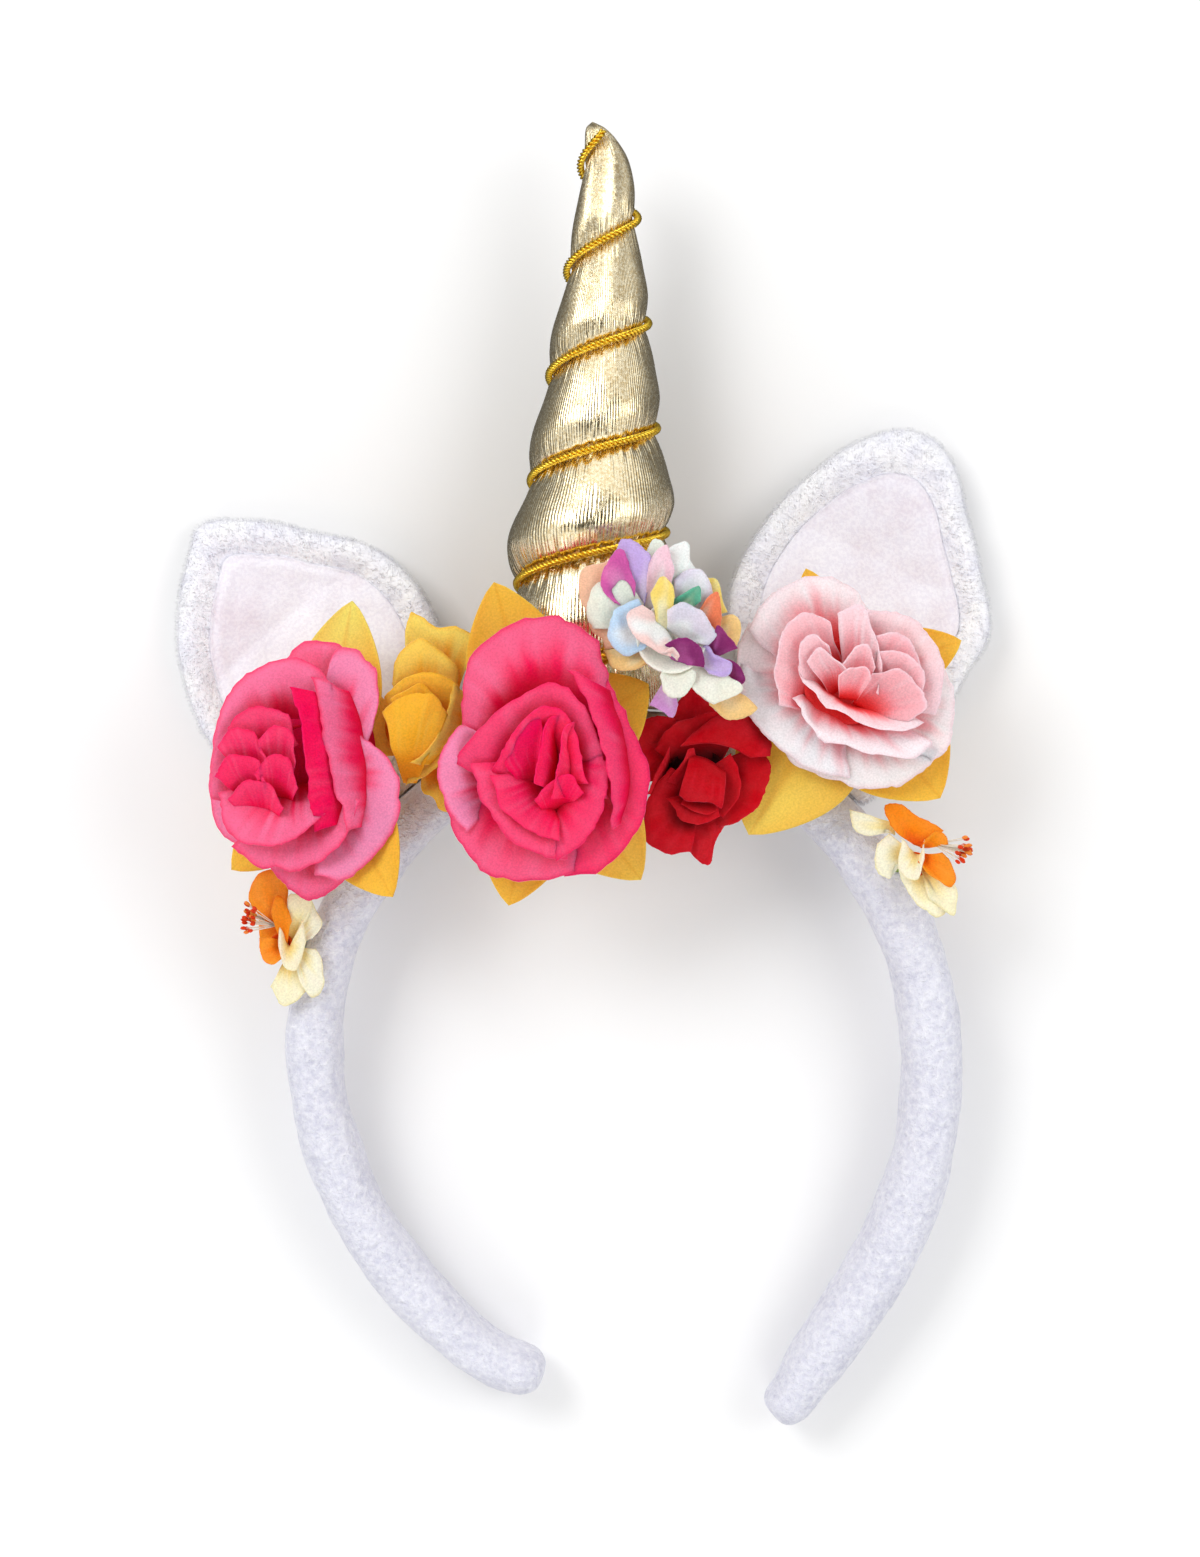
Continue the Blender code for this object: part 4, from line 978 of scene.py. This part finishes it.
def make_horn():
    """Stuffed lobes between the turns of the cord, with the cloth gathered where the cord pulls it in."""
    table = np.array([lobe_swell(i / LOBE_STEPS) for i in range(LOBE_STEPS + 1)])
    around = np.arange(HORN_COLUMNS) * 360.0 / HORN_COLUMNS
    turned = np.radians(around)
    heights = HORN_LENGTH * np.linspace(0.0, 1.0, HORN_ROWS)
    rows = []
    for height in heights:
        axis, radius = horn_axis(height)
        phase = ((height - FIRST_GROOVE) / HORN_PITCH - around / 360.0) % 1.0
        swell = np.interp(phase, np.linspace(0, 1, LOBE_STEPS + 1), table)
        near = np.minimum(phase, 1.0 - phase)
        pleats = np.sin(turned * 46 + 2.2 * np.sin(turned * 7 + height * 300))
        pleats += 0.7 * np.sin(turned * 29 + 1.7 + height * 130)
        gather = np.exp(-near / 0.10) * (1.0 - np.exp(-near / 0.035)) * PLEAT_DEPTH * pleats
        soft = LOBE_WAVE * np.sin(turned * 5 + height * 210) * np.sin(height * 330 + 1.0)
        reach = radius * (1.0 - GROOVE_DEPTH * (1.0 - swell) + gather + soft)
        ring = np.stack((reach * np.sin(turned), np.zeros_like(turned), reach * np.cos(turned)), -1)
        rows.append(axis + ring)
    points = np.array(rows)
    for column in range(HORN_COLUMNS):
        points[0, column] = clear_of_band(points[0, column])
    horn = Cloths()
    horn.add(points, closed=True)
    obj = horn.made("horn_lame", lame_look())
    close_ends(obj, HORN_ROWS, HORN_COLUMNS)
    cloth = obj.data.uv_layers.new(name="cloth")
    places = np.zeros((len(obj.data.loops), 2))
    for face in obj.data.polygons:
        corners = [(obj.data.loops[k].vertex_index) for k in face.loop_indices]
        columns = [c % HORN_COLUMNS for c in corners]
        wraps = max(columns) - min(columns) > HORN_COLUMNS / 2
        for k, corner, column in zip(face.loop_indices, corners, columns):
            turn = column + (HORN_COLUMNS if wraps and column < HORN_COLUMNS / 2 else 0)
            places[k] = (turn / HORN_COLUMNS, corner // HORN_COLUMNS / HORN_ROWS)
    cloth.data.foreach_set("uv", places.ravel())
    placed(obj, "gold_cloth", "horn")


def make_cord():
    """A cord of twisted strands, wound up the horn in its groove."""
    route, axes = [], []
    for i in range(CORD_STATIONS + 1):
        height = CORD_FOOT + (CORD_HEAD - CORD_FOOT) * i / CORD_STATIONS
        turned = math.tau * (height - FIRST_GROOVE) / HORN_PITCH
        axis, radius = horn_axis(height)
        reach = radius * (1.0 - GROOVE_DEPTH) + CORD_RADIUS + CORD_PROUD + GAP
        route.append(axis + np.array((reach * math.sin(turned), 0.0, reach * math.cos(turned))))
        axes.append(axis)
    route = np.array(route)
    along = np.gradient(route, axis=0)
    length = np.concatenate(((0.0,), np.cumsum(np.linalg.norm(np.diff(route, axis=0), axis=1))))
    along /= np.linalg.norm(along, axis=1, keepdims=True)
    outward = route - np.array(axes)
    outward -= along * (outward * along).sum(axis=1, keepdims=True)
    outward /= np.linalg.norm(outward, axis=1, keepdims=True)
    across = np.cross(along, outward)
    strand = CORD_RADIUS * STRAND_RADIUS
    offset = CORD_RADIUS * STRAND_OFFSET
    cord = Cloths()
    ring = np.arange(STRAND_SIDES) * math.tau / STRAND_SIDES
    for k in range(CORD_STRANDS):
        twist = math.tau * (length / CORD_LAY + k / CORD_STRANDS)
        middle = (route + outward * (offset * np.cos(twist))[:, None]
                  + across * (offset * np.sin(twist))[:, None])
        points = middle[:, None] + strand * (outward[:, None] * np.cos(ring)[None, :, None]
                                             + across[:, None] * np.sin(ring)[None, :, None])
        cord.add(points, closed=True)
    obj = cord.made("horn_cord_strands", cord_look())
    placed(obj, "gold_cord", "horn_cord")


# Ears


def ear_height(x, y, centre, apex):
    """The height of the middle of an ear's thickness: it leans back from the band and is cupped forward."""
    angle = math.degrees(math.atan2(x, y))
    band_x, band_y, half = spine(angle)
    beyond = math.hypot(x, y) - math.hypot(band_x, band_y) - half
    at_band = lift(band_y)
    rest = EAR_THICKNESS / 2
    lean = min(max(beyond / EAR_LEAN, 0.0), 1.0)
    along = (math.cos(math.radians(apex)), math.sin(math.radians(apex)))
    across = along[0] * (y - centre[1]) - along[1] * (x - centre[0])
    edge = min(abs(across) / EAR_REACH, 1.0)
    return at_band + (rest - at_band) * lean ** 0.8 + EAR_CUP * edge * edge


def ear_reach(ear, around):
    """How far an ear's outline is from its centre, in a direction in degrees."""
    outline = ear["outline"]
    rows = outline + tuple((angle + 360, reach) for angle, reach in outline[:3])
    rows = tuple((angle - 360, reach) for angle, reach in outline[-3:]) + rows
    wrapped = outline[0][0] + (around - outline[0][0]) % 360.0
    return smooth_row(rows, wrapped)[0] * EAR_REACH


def ear_grid(ear, shares, forwards):
    """Rings of points round an ear's centre, at shares of its outline and forward of its middle."""
    centre, apex = ear["centre"], ear["apex"]
    rings = []
    arounds = np.arange(EAR_ROUND) * 360.0 / EAR_ROUND
    reaches = [ear_reach(ear, a) for a in arounds]
    for share, forward in zip(shares, forwards):
        ring = []
        for around, reach in zip(arounds, reaches):
            x = centre[0] + reach * share * math.cos(math.radians(around))
            y = centre[1] + reach * share * math.sin(math.radians(around))
            point = clear_of_band((x, y, 0.0))
            ring.append((point.x, point.y, ear_height(point.x, point.y, centre, apex) + forward))
        rings.append(ring)
    return np.array(rings)


def scatter(points, faces, count, seed):
    """Random places on quads, with the direction square to them."""
    draw = np.random.default_rng(seed)
    a, b, c, d = (points[faces[:, k]] for k in range(4))
    square = np.cross(c - a, d - b)
    area = np.linalg.norm(square, axis=1)
    chosen = draw.choice(len(faces), count, p=area / area.sum())
    s, t = draw.random((count, 1)), draw.random((count, 1))
    a, b, c, d = (corner[chosen] for corner in (a, b, c, d))
    places = (a * (1 - s) + b * s) * (1 - t) + (d * (1 - s) + c * s) * t
    return places, square[chosen] / area[chosen][:, None], draw


def make_pile(name, ear, skin, look):
    """Short tapered fibres over an ear's plush."""
    points, faces = skin
    places, outward, draw = scatter(points, faces, PILE_COUNT, ear["seed"])
    centre = np.array((*ear["centre"], 0.0))
    comb = places - centre
    comb[:, 2] = 0.0
    comb /= np.linalg.norm(comb, axis=1, keepdims=True)
    swirl = np.stack((soft_noise(places, 0.012, ear["seed"] + 1), soft_noise(places, 0.012, ear["seed"] + 2),
                      np.zeros(PILE_COUNT)), -1)
    way = outward + PILE_COMB * comb + PILE_SWIRL * swirl + draw.normal(0.0, PILE_STRAY, (PILE_COUNT, 3))
    way /= np.linalg.norm(way, axis=1, keepdims=True)
    length = PILE_LENGTH * draw.uniform(*PILE_LENGTHS, (PILE_COUNT, 1))
    side = np.cross(way, draw.normal(size=(PILE_COUNT, 3)))
    side /= np.linalg.norm(side, axis=1, keepdims=True)
    other = np.cross(way, side)
    corners = []
    for turn in (0.0, math.tau / 3, math.tau * 2 / 3):
        across = side * math.cos(turn) + other * math.sin(turn)
        corners.append(places + PILE_WIDTH * across - way * PILE_ROOT)
    tips = places + way * length
    tips[:, 2] = np.maximum(tips[:, 2], -RING_CENTRE[2])
    every = np.stack((*corners, tips), 1).reshape(-1, 3) + RING_CENTRE
    first = np.arange(PILE_COUNT)[:, None] * 4
    triangles = np.concatenate([first + np.array(t) for t in ((0, 1, 3), (1, 2, 3), (2, 0, 3), (0, 2, 1))])
    mesh = bpy.data.meshes.new(name)
    mesh.from_pydata(every.tolist(), [], triangles.tolist())
    mesh.shade_smooth()
    mesh.materials.append(look)
    obj = bpy.data.objects.new(name, mesh)
    bpy.context.scene.collection.objects.link(obj)
    return placed(obj, "plush")


def make_ear(name, ear, plush, panel_cloth):
    """A padded ear of plush with its pile, and the thin panel in its dish."""
    half = EAR_THICKNESS / 2
    dish = half - PANEL_THICKNESS - GAP
    edge = PANEL_SHARE + 0.02
    under_panel = [(share, dish - PANEL_BED) for share in (0.02, 0.3, 0.6)]  # these rings have no pile
    rings = list(under_panel)
    rings += [(edge + (EAR_CREST - edge) * t, dish + (half - dish) * (t * t * (3 - 2 * t)) ** 0.8)
              for t in np.linspace(0.0, 1.0, 8)]
    rings += [(EAR_CREST + (1.0 - EAR_CREST) * math.sin(t), half * max(math.cos(t), 0.0) ** 0.7)
              for t in np.linspace(0.15, math.pi / 2, 10)]
    rings += [(1.0 - 0.14 * (1 - math.cos(t)), -half * 0.92 * math.sin(t))
              for t in np.linspace(0.2, math.pi / 2, 7)]
    rings += [(0.7, -half * 0.98), (0.5, -half), (0.25, -half), (0.02, -half)]
    points = ear_grid(ear, [r[0] for r in rings], [r[1] for r in rings])
    points += (soft_noise(points, 0.020, ear["seed"]) * 0.0003)[..., None] * np.array((0.5, 0.5, 1.0))
    points[..., 2] = np.maximum(points[..., 2], -RING_CENTRE[2])
    body = Cloths()
    body.add(points[::-1], closed=True)
    obj = body.made(name + "_plush", plush)
    close_ends(obj, len(rings), EAR_ROUND)
    placed(obj, "plush", name)
    first = len(under_panel)
    faces = grid_faces(len(rings) - first, EAR_ROUND, True)[:, ::-1]
    make_pile(name + "_pile", ear, (points[first:].reshape(-1, 3), faces), plush)

    shares = np.linspace(0.01, edge + 0.04, 40)
    level = dish + GAP + PANEL_THICKNESS / 2
    slope = np.clip((shares - edge) / (EAR_CREST - edge), 0.0, 1.0)
    rise = (half - dish) * (slope * slope * (3 - 2 * slope)) ** 0.8
    sunk = 0.6 * PANEL_THICKNESS * ease(shares, edge - 0.04, edge + 0.04)
    sheet = ear_grid(ear, shares, level - sunk + rise)
    turned = math.radians(ear["apex"])
    to_right, to_top = sheet[..., 0] - ear["centre"][0], sheet[..., 1] - ear["centre"][1]
    along = to_right * math.cos(turned) + to_top * math.sin(turned)
    across = to_top * math.cos(turned) - to_right * math.sin(turned)
    folds = np.zeros(across.shape)
    for place, width, height in PANEL_FOLDS:
        bent = across - place - 0.12 * along
        folds += height * np.exp(-((bent / width) ** 2)) * ease(along, 0.020, -0.015)
    fade = ease(shares, PANEL_SHARE, PANEL_SHARE - 0.12)[:, None]
    sheet[..., 2] += folds * fade + soft_noise(sheet, 0.012, ear["seed"] + 5) * 0.00022 * fade
    panel = Cloths()
    panel.add(sheet, closed=True)
    obj = panel.made(name + "_panel_cloth", panel_cloth, PANEL_THICKNESS * 0.6)
    width = 2 * EAR_REACH * PANEL_SHARE
    placed(obj, "ear_panel", name + "_panel")


# Flowers


def flower_frame(name):
    """The back of a flower's head and its three directions."""
    spec = FLOWERS[name]
    foot, _ = band_facet(spec["foot_angle"], spec["foot_side"])
    out = spine_outward(spec["foot_angle"])
    along = Vector((out.y, -out.x, 0.0))
    shares = out * spec["out"] + along * spec["along"] + Vector((0.0, 0.0, spec["up"]))
    tilt = math.radians(spec["tilt"])
    turn = math.radians(spec["turn"])
    axis = Vector((math.sin(tilt) * math.cos(turn), math.sin(tilt) * math.sin(turn), math.cos(tilt)))
    right = Vector((0.0, 1.0, 0.0)).cross(axis).normalized()
    return tuple(np.array(v) for v in (foot + shares * RING_RADIUS, right, axis.cross(right), axis))


def petal_colours(u, v, pale, dark, tints, draw):
    """Darker at the base with painted shade of the flower's depths, then the face's colour, paler in patches
    towards the rim, and a thin line there.
    """
    deep, face, light, rim = (linear(c) for c in TINTS[tints])
    edge = np.maximum(v, np.abs(u) ** 2 * 0.97)
    streaks = soft_noise(np.stack((u * 6.0, v * 0.6, np.zeros_like(u)), -1), 1.0, int(draw.integers(1 << 30)))
    blotch = soft_noise(np.stack((u, v, np.zeros_like(u)), -1), 1.3, int(draw.integers(1 << 30)))
    patch = pale * ease(v + 0.10 * blotch + 0.10 * streaks, 0.26, 0.80)
    patch = patch + 0.10 * ease(streaks, 0.2, 1.4) * ease(v, 0.2, 0.6)
    # painted shade: towards the base the colour darkens to the deep colour, by the petal's dark share, for
    # the shade deep in the flower
    colour = deep + (face - deep) * (1.0 - dark * (1.0 - ease(v, 0.05, 0.62)))[..., None]
    colour = colour + (light - colour) * np.clip(patch, 0, 1)[..., None]
    return colour + (rim - colour) * (ease(edge, 0.94, 0.985) * 0.75)[..., None]


def pastel_colours(u, v, tints, draw):
    """A soft change from the base's colour to the tip's, as in tie-dyed cloth."""
    base, tip = (linear(c) for c in tints)
    blotch = soft_noise(np.stack((u, v, np.zeros_like(u)), -1), 0.9, int(draw.integers(1 << 30)))
    share = ease(v + 0.22 * blotch + 0.25 * np.abs(u), 0.25, 0.95)
    return base + (tip - base) * share[..., None]


def smooth_curve(points, count):
    """A number of points along a smooth curve through a few."""
    points = np.array(points, float)
    length = np.concatenate(((0.0,), np.cumsum(np.linalg.norm(np.diff(points, axis=0), axis=1))))
    rows = [(at, *point) for at, point in zip(length, points)]
    if len(rows) == 2:
        return points[0] + (points[1] - points[0]) * np.linspace(0, 1, count)[:, None]
    return np.array([smooth_row(rows, at) for at in np.linspace(0, length[-1], count)])


def petal(middle, radius, row, seed, tints):
    """A petal between its base and its rim: it bulges forward between them, and its rim rolls back."""
    base, rim = (np.array(points) / 100 for points in row[:2])
    bulge, roll, pale, dark = (value / 100 for value in row[2:6])
    draw = np.random.default_rng(seed)
    u, v = np.meshgrid(np.linspace(-1, 1, PETAL_ACROSS), np.linspace(0, 1, PETAL_ALONG) ** 0.85)
    low = smooth_curve(base, PETAL_ACROSS)
    high = smooth_curve(rim, PETAL_ACROSS)
    away = high - low
    away[:, 2] = 0.0
    away /= np.linalg.norm(away, axis=1, keepdims=True)
    points = low * (1 - v)[..., None] + high * v[..., None]
    rolled = np.clip((v - ROLL_FROM) / ROLL_OVER, 0.0, 1.0)
    rise = bulge * np.sin(math.pi * v**0.8) - roll * 0.10 * rolled**2
    size = min(float(np.linalg.norm(np.diff(high, axis=0), axis=1).sum()) / 1.5, 1.0)
    rise += size * 0.018 * np.sin(u * draw.uniform(3, 6) + draw.uniform(0, 6.3)) * v**2
    rise += size * 0.010 * np.sin(u * draw.uniform(9, 14) + draw.uniform(0, 6.3)) * v**3
    points[..., 2] += rise
    points += away[None] * (0.03 * roll * np.sin(rolled * math.pi / 2))[..., None]
    ragged = draw.normal(0.0, 0.0050 * size, PETAL_ACROSS)
    points += away[None] * (ragged[None] * v**14)[..., None]
    points = middle + points * radius
    points += (soft_noise(points, 0.007, seed) * 0.00030 * v)[..., None]
    points += (soft_noise(points, 0.0030, seed + 9) * 0.00006 * v**2)[..., None]
    if len(row) > 6:
        return points, pastel_colours(u, v, PASTELS[row[6]], draw)
    return points, petal_colours(u, v, pale, dark, tints, draw)


def petal_foot(head, middle, radius, order, follow, width, colour):
    """The cone where a layer's petals are gathered on the stem, hidden inside the flower."""
    turned = np.arange(FOOT_SIDES) * math.tau / FOOT_SIDES
    ring = np.stack((np.cos(turned), np.sin(turned), np.zeros(FOOT_SIDES)), -1)
    top = head + (middle - head) * follow + np.array((0.0, 0.0, (0.12 + 0.10 * order) * radius))
    foot = head + np.array((0.0, 0.0, CLOTH + 0.0008 * order))
    rows = [foot + (top - foot) * t + ring * radius * (0.04 + width * t**0.7)
            for t in np.linspace(0.0, 1.0, FOOT_ROWS)]
    return np.array(rows), np.tile(colour, (FOOT_ROWS, FOOT_SIDES, 1))


def middle_length(points):
    """The length of a grid of points along its middle column."""
    middle = points[:, points.shape[1] // 2]
    return float(np.linalg.norm(np.diff(middle, axis=0), axis=1).sum())


def make_petal_layers(name, looks):
    """A flower's layers, each one piece of cloth with its petals from the table, and its leaves."""
    spec = FLOWERS[name]
    place = flower_frame(name)
    if name in LEAVES:
        make_leaves(name, place, spec, looks)
    family = {"rose_pink_left": "pink", "rose_pink_centre": "pink", "rose_yellow": "yellow",
              "rose_red": "red", "rose_blush": "blush", "flower_pastel": "pastel"}.get(name)
    layers = [key for key in PETALS if key.startswith(name + "_")]
    head, _, _, axis = place
    middle = head + axis * spec["depth"]
    middle[2] = head[2]
    follow, width = (0.15, 0.16) if name.startswith("blossom") else (1.0, 0.34)
    for order, layer in enumerate(layers):
        cloths = Cloths()
        longest = 0.0
        seed = 100 * len(layer) + sum(map(ord, layer))
        if name.startswith("blossom"):
            family = "orange" if layer.endswith("inner") else "cream"
        # the hidden foot takes the deep colour of the petals' painted shade
        colour = linear(PASTEL_FOOT if family == "pastel" else TINTS[family][0])
        cloths.add(*petal_foot(head, middle, spec["radius"], order, follow, width, colour), closed=True)
        for k, row in enumerate(PETALS[layer]):
            points, colours = petal(middle, spec["radius"], row, seed + k, family)
            cloths.add(points, colours)
            longest = max(longest, middle_length(points))
        obj = cloths.made(layer + "_cloth", looks[family], PETAL_CLOTH)
        placed(obj, family + "_petals", layer)


def make_leaves(name, place, spec, looks):
    """A collar of pointed leaves, each with a midrib, its own yellow or green, and painted shade at its base
    and over one half.
    """
    head, right, up, axis = place
    cloths = Cloths()
    deep, face, light, _ = (linear(c) for c in TINTS["leaf"])
    for k, (direction, half_width, reach, rise, green) in enumerate(LEAVES[name]):
        draw = np.random.default_rng(77 + k + len(name))
        u, v = np.meshgrid(np.linspace(-1, 1, LEAF_ACROSS), np.linspace(0, 1, LEAF_ALONG))
        length = reach * spec["radius"]
        width = length * math.sin(math.radians(half_width)) * 1.15
        half = width * np.sin(math.pi * np.clip(v, 0, 1) ** 0.88) ** 0.78
        half = np.maximum(half, width * 0.10 * (1 - v))
        side = half * u
        height = rise * length * v * v + 0.10 * width * np.abs(u) * np.sin(math.pi * v)
        height += 0.05 * length * np.sin(v * 2.2 + draw.uniform(0, 3)) * v * draw.uniform(0.4, 1.0)
        turned = math.radians(direction)
        out = right * math.cos(turned) + up * math.sin(turned)
        cross = up * math.cos(turned) - right * math.sin(turned)
        points = (head + axis * CLOTH + (v * length)[..., None] * out + side[..., None] * cross
                  + height[..., None] * axis)
        rib = np.exp(-((u / 0.05) ** 2)) * 0.25
        colour = face + (light - face) * (green * ease(v + 0.3 * u, 0.2, 0.9))[..., None]
        # painted shade: darker towards the base, under the flower, and over one half of the leaf; the midrib
        # line is darker too
        shade = np.clip(rib + ease(v, 0.55, 0.0) * 0.6 + 0.25 * ease(u, 0.2, 1.0), 0, 1)
        colour = colour + (deep - colour) * shade[..., None]
        cloths.add(points, colour)
    obj = cloths.made(name + "_leaves_cloth", looks["leaf"], CLOTH)
    placed(obj, "leaves", name + "_leaves")


def make_stamens(name, look):
    """A tuft of fine filaments, each with a small grain at its tip."""
    start, way_out = (np.array(v, float) for v in STAMENS[name])
    head, _, _, axis = flower_frame(name)
    spec = FLOWERS[name]
    foot = head + axis * spec["depth"]
    foot[2] = head[2]
    foot += start * spec["radius"]
    axis = way_out / np.linalg.norm(way_out)
    right = np.cross((0.0, 1.0, 0.0), axis)
    right /= np.linalg.norm(right)
    up = np.cross(axis, right)
    draw = np.random.default_rng(len(name) * 5)
    tuft = Cloths()
    white, orange, red = (linear(c) for c in STAMEN_TINTS)
    ring = np.arange(STAMEN_SIDES) * math.tau / STAMEN_SIDES
    for k in range(STAMEN_COUNT):
        lean = math.radians(draw.uniform(2, 26))
        turn = k * GOLDEN_ANGLE + draw.uniform(-0.3, 0.3)
        way = axis * math.cos(lean) + (right * math.cos(turn) + up * math.sin(turn)) * math.sin(lean)
        side = np.cross(way, right + 0.3 * up)
        side /= np.linalg.norm(side)
        other = np.cross(way, side)
        length = draw.uniform(*STAMEN_LENGTHS)
        rows, colours = [], []
        for share, radius in STAMEN_PROFILE:
            middle = foot + way * (length * share)
            rows.append(middle + radius * (np.outer(np.cos(ring), side) + np.outer(np.sin(ring), other)))
            tint = white if share < GRAIN_FROM else (red if k % 3 else orange)
            colours.append(np.tile(tint, (len(ring), 1)))
        tuft.add(np.array(rows), np.array(colours), closed=True)
    obj = tuft.made(name + "_stamen_threads", look)
    placed(obj, "stamens", name + "_stamens")


# Stage


def make_stage():
    bpy.ops.mesh.primitive_plane_add(size=FLOOR_SIZE, location=(0.0, 0.0, FLOOR_LEVEL))
    floor = bpy.context.active_object
    floor.name = "floor"
    floor.visible_glossy = False
    made, tree, shader = new_material("floor")
    tint = ramp(tree, noise_of(tree, 2.0), ((0.3, (0.90, 0.90, 0.90)), (0.7, (0.92, 0.92, 0.92))))
    tree.links.new(tint, shader.inputs["Base Color"])
    shader.inputs["Roughness"].default_value = 0.9
    floor.data.materials.append(made)

    world = bpy.data.worlds.new("studio")
    bpy.context.scene.world = world
    world.use_nodes = True
    tree = world.node_tree
    height = node(tree, "SeparateXYZ", {}, _0=node(tree, "TexCoord").outputs["Generated"]).outputs["Z"]
    light = ramp(tree, node(tree, "MapRange", {}, _0=height, _1=-1.0, _2=1.0, _3=0.0, _4=1.0).outputs[0],
                 [(direction, (bright,) * 3) for direction, bright in SKY])
    background = tree.nodes["Background"]
    background.inputs["Color"].default_value = (1.0, 1.0, 1.0, 1.0)
    tree.links.new(math_of(tree, "MULTIPLY", light, SKY_STRENGTH), background.inputs["Strength"])

    for name, place, size, power in LIGHTS:
        data = bpy.data.lights.new(name, "AREA")
        data.size = size
        data.energy = power
        lamp = bpy.data.objects.new(name, data)
        lamp.location = place
        lamp.rotation_euler = (-Vector(place)).to_track_quat("-Z", "Y").to_euler()
        bpy.context.scene.collection.objects.link(lamp)


def make_camera():
    data = bpy.data.cameras.new("camera")
    data.sensor_fit = "VERTICAL"
    data.sensor_height = 24.0
    data.lens = data.sensor_height * (CAMERA_HEIGHT - FRAME_LEVEL) / FRAME_HEIGHT
    camera = bpy.data.objects.new("camera", data)
    camera.location = (*CAMERA_AIM, CAMERA_HEIGHT)
    bpy.context.scene.collection.objects.link(camera)
    bpy.context.scene.camera = camera


def main():
    make_camera()
    make_stage()
    bpy.context.scene.view_settings.view_transform = "Standard"
    make_band()
    make_horn()
    make_cord()
    plush = plush_look("plush", (240, 240, 249), (253, 253, 255))
    panel_cloth = panel_look()
    for name, ear in EARS.items():
        make_ear(name, ear, plush, panel_cloth)
    looks = {name: petal_look(name + "_petals")
             for name in ("pink", "yellow", "red", "blush", "cream", "orange")}
    looks["pastel"] = petal_look("pastel_petals")
    looks["leaf"] = petal_look("leaves", weave=0.3)
    stamen_cloth = petal_look("stamens")
    stem = stem_look()
    for name in FLOWERS:
        make_petal_layers(name, looks)
        if name in STAMENS:
            make_stamens(name, stamen_cloth)
        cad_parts[name + "_stem"].data.materials.clear()
        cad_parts[name + "_stem"].data.materials.append(stem)


main()
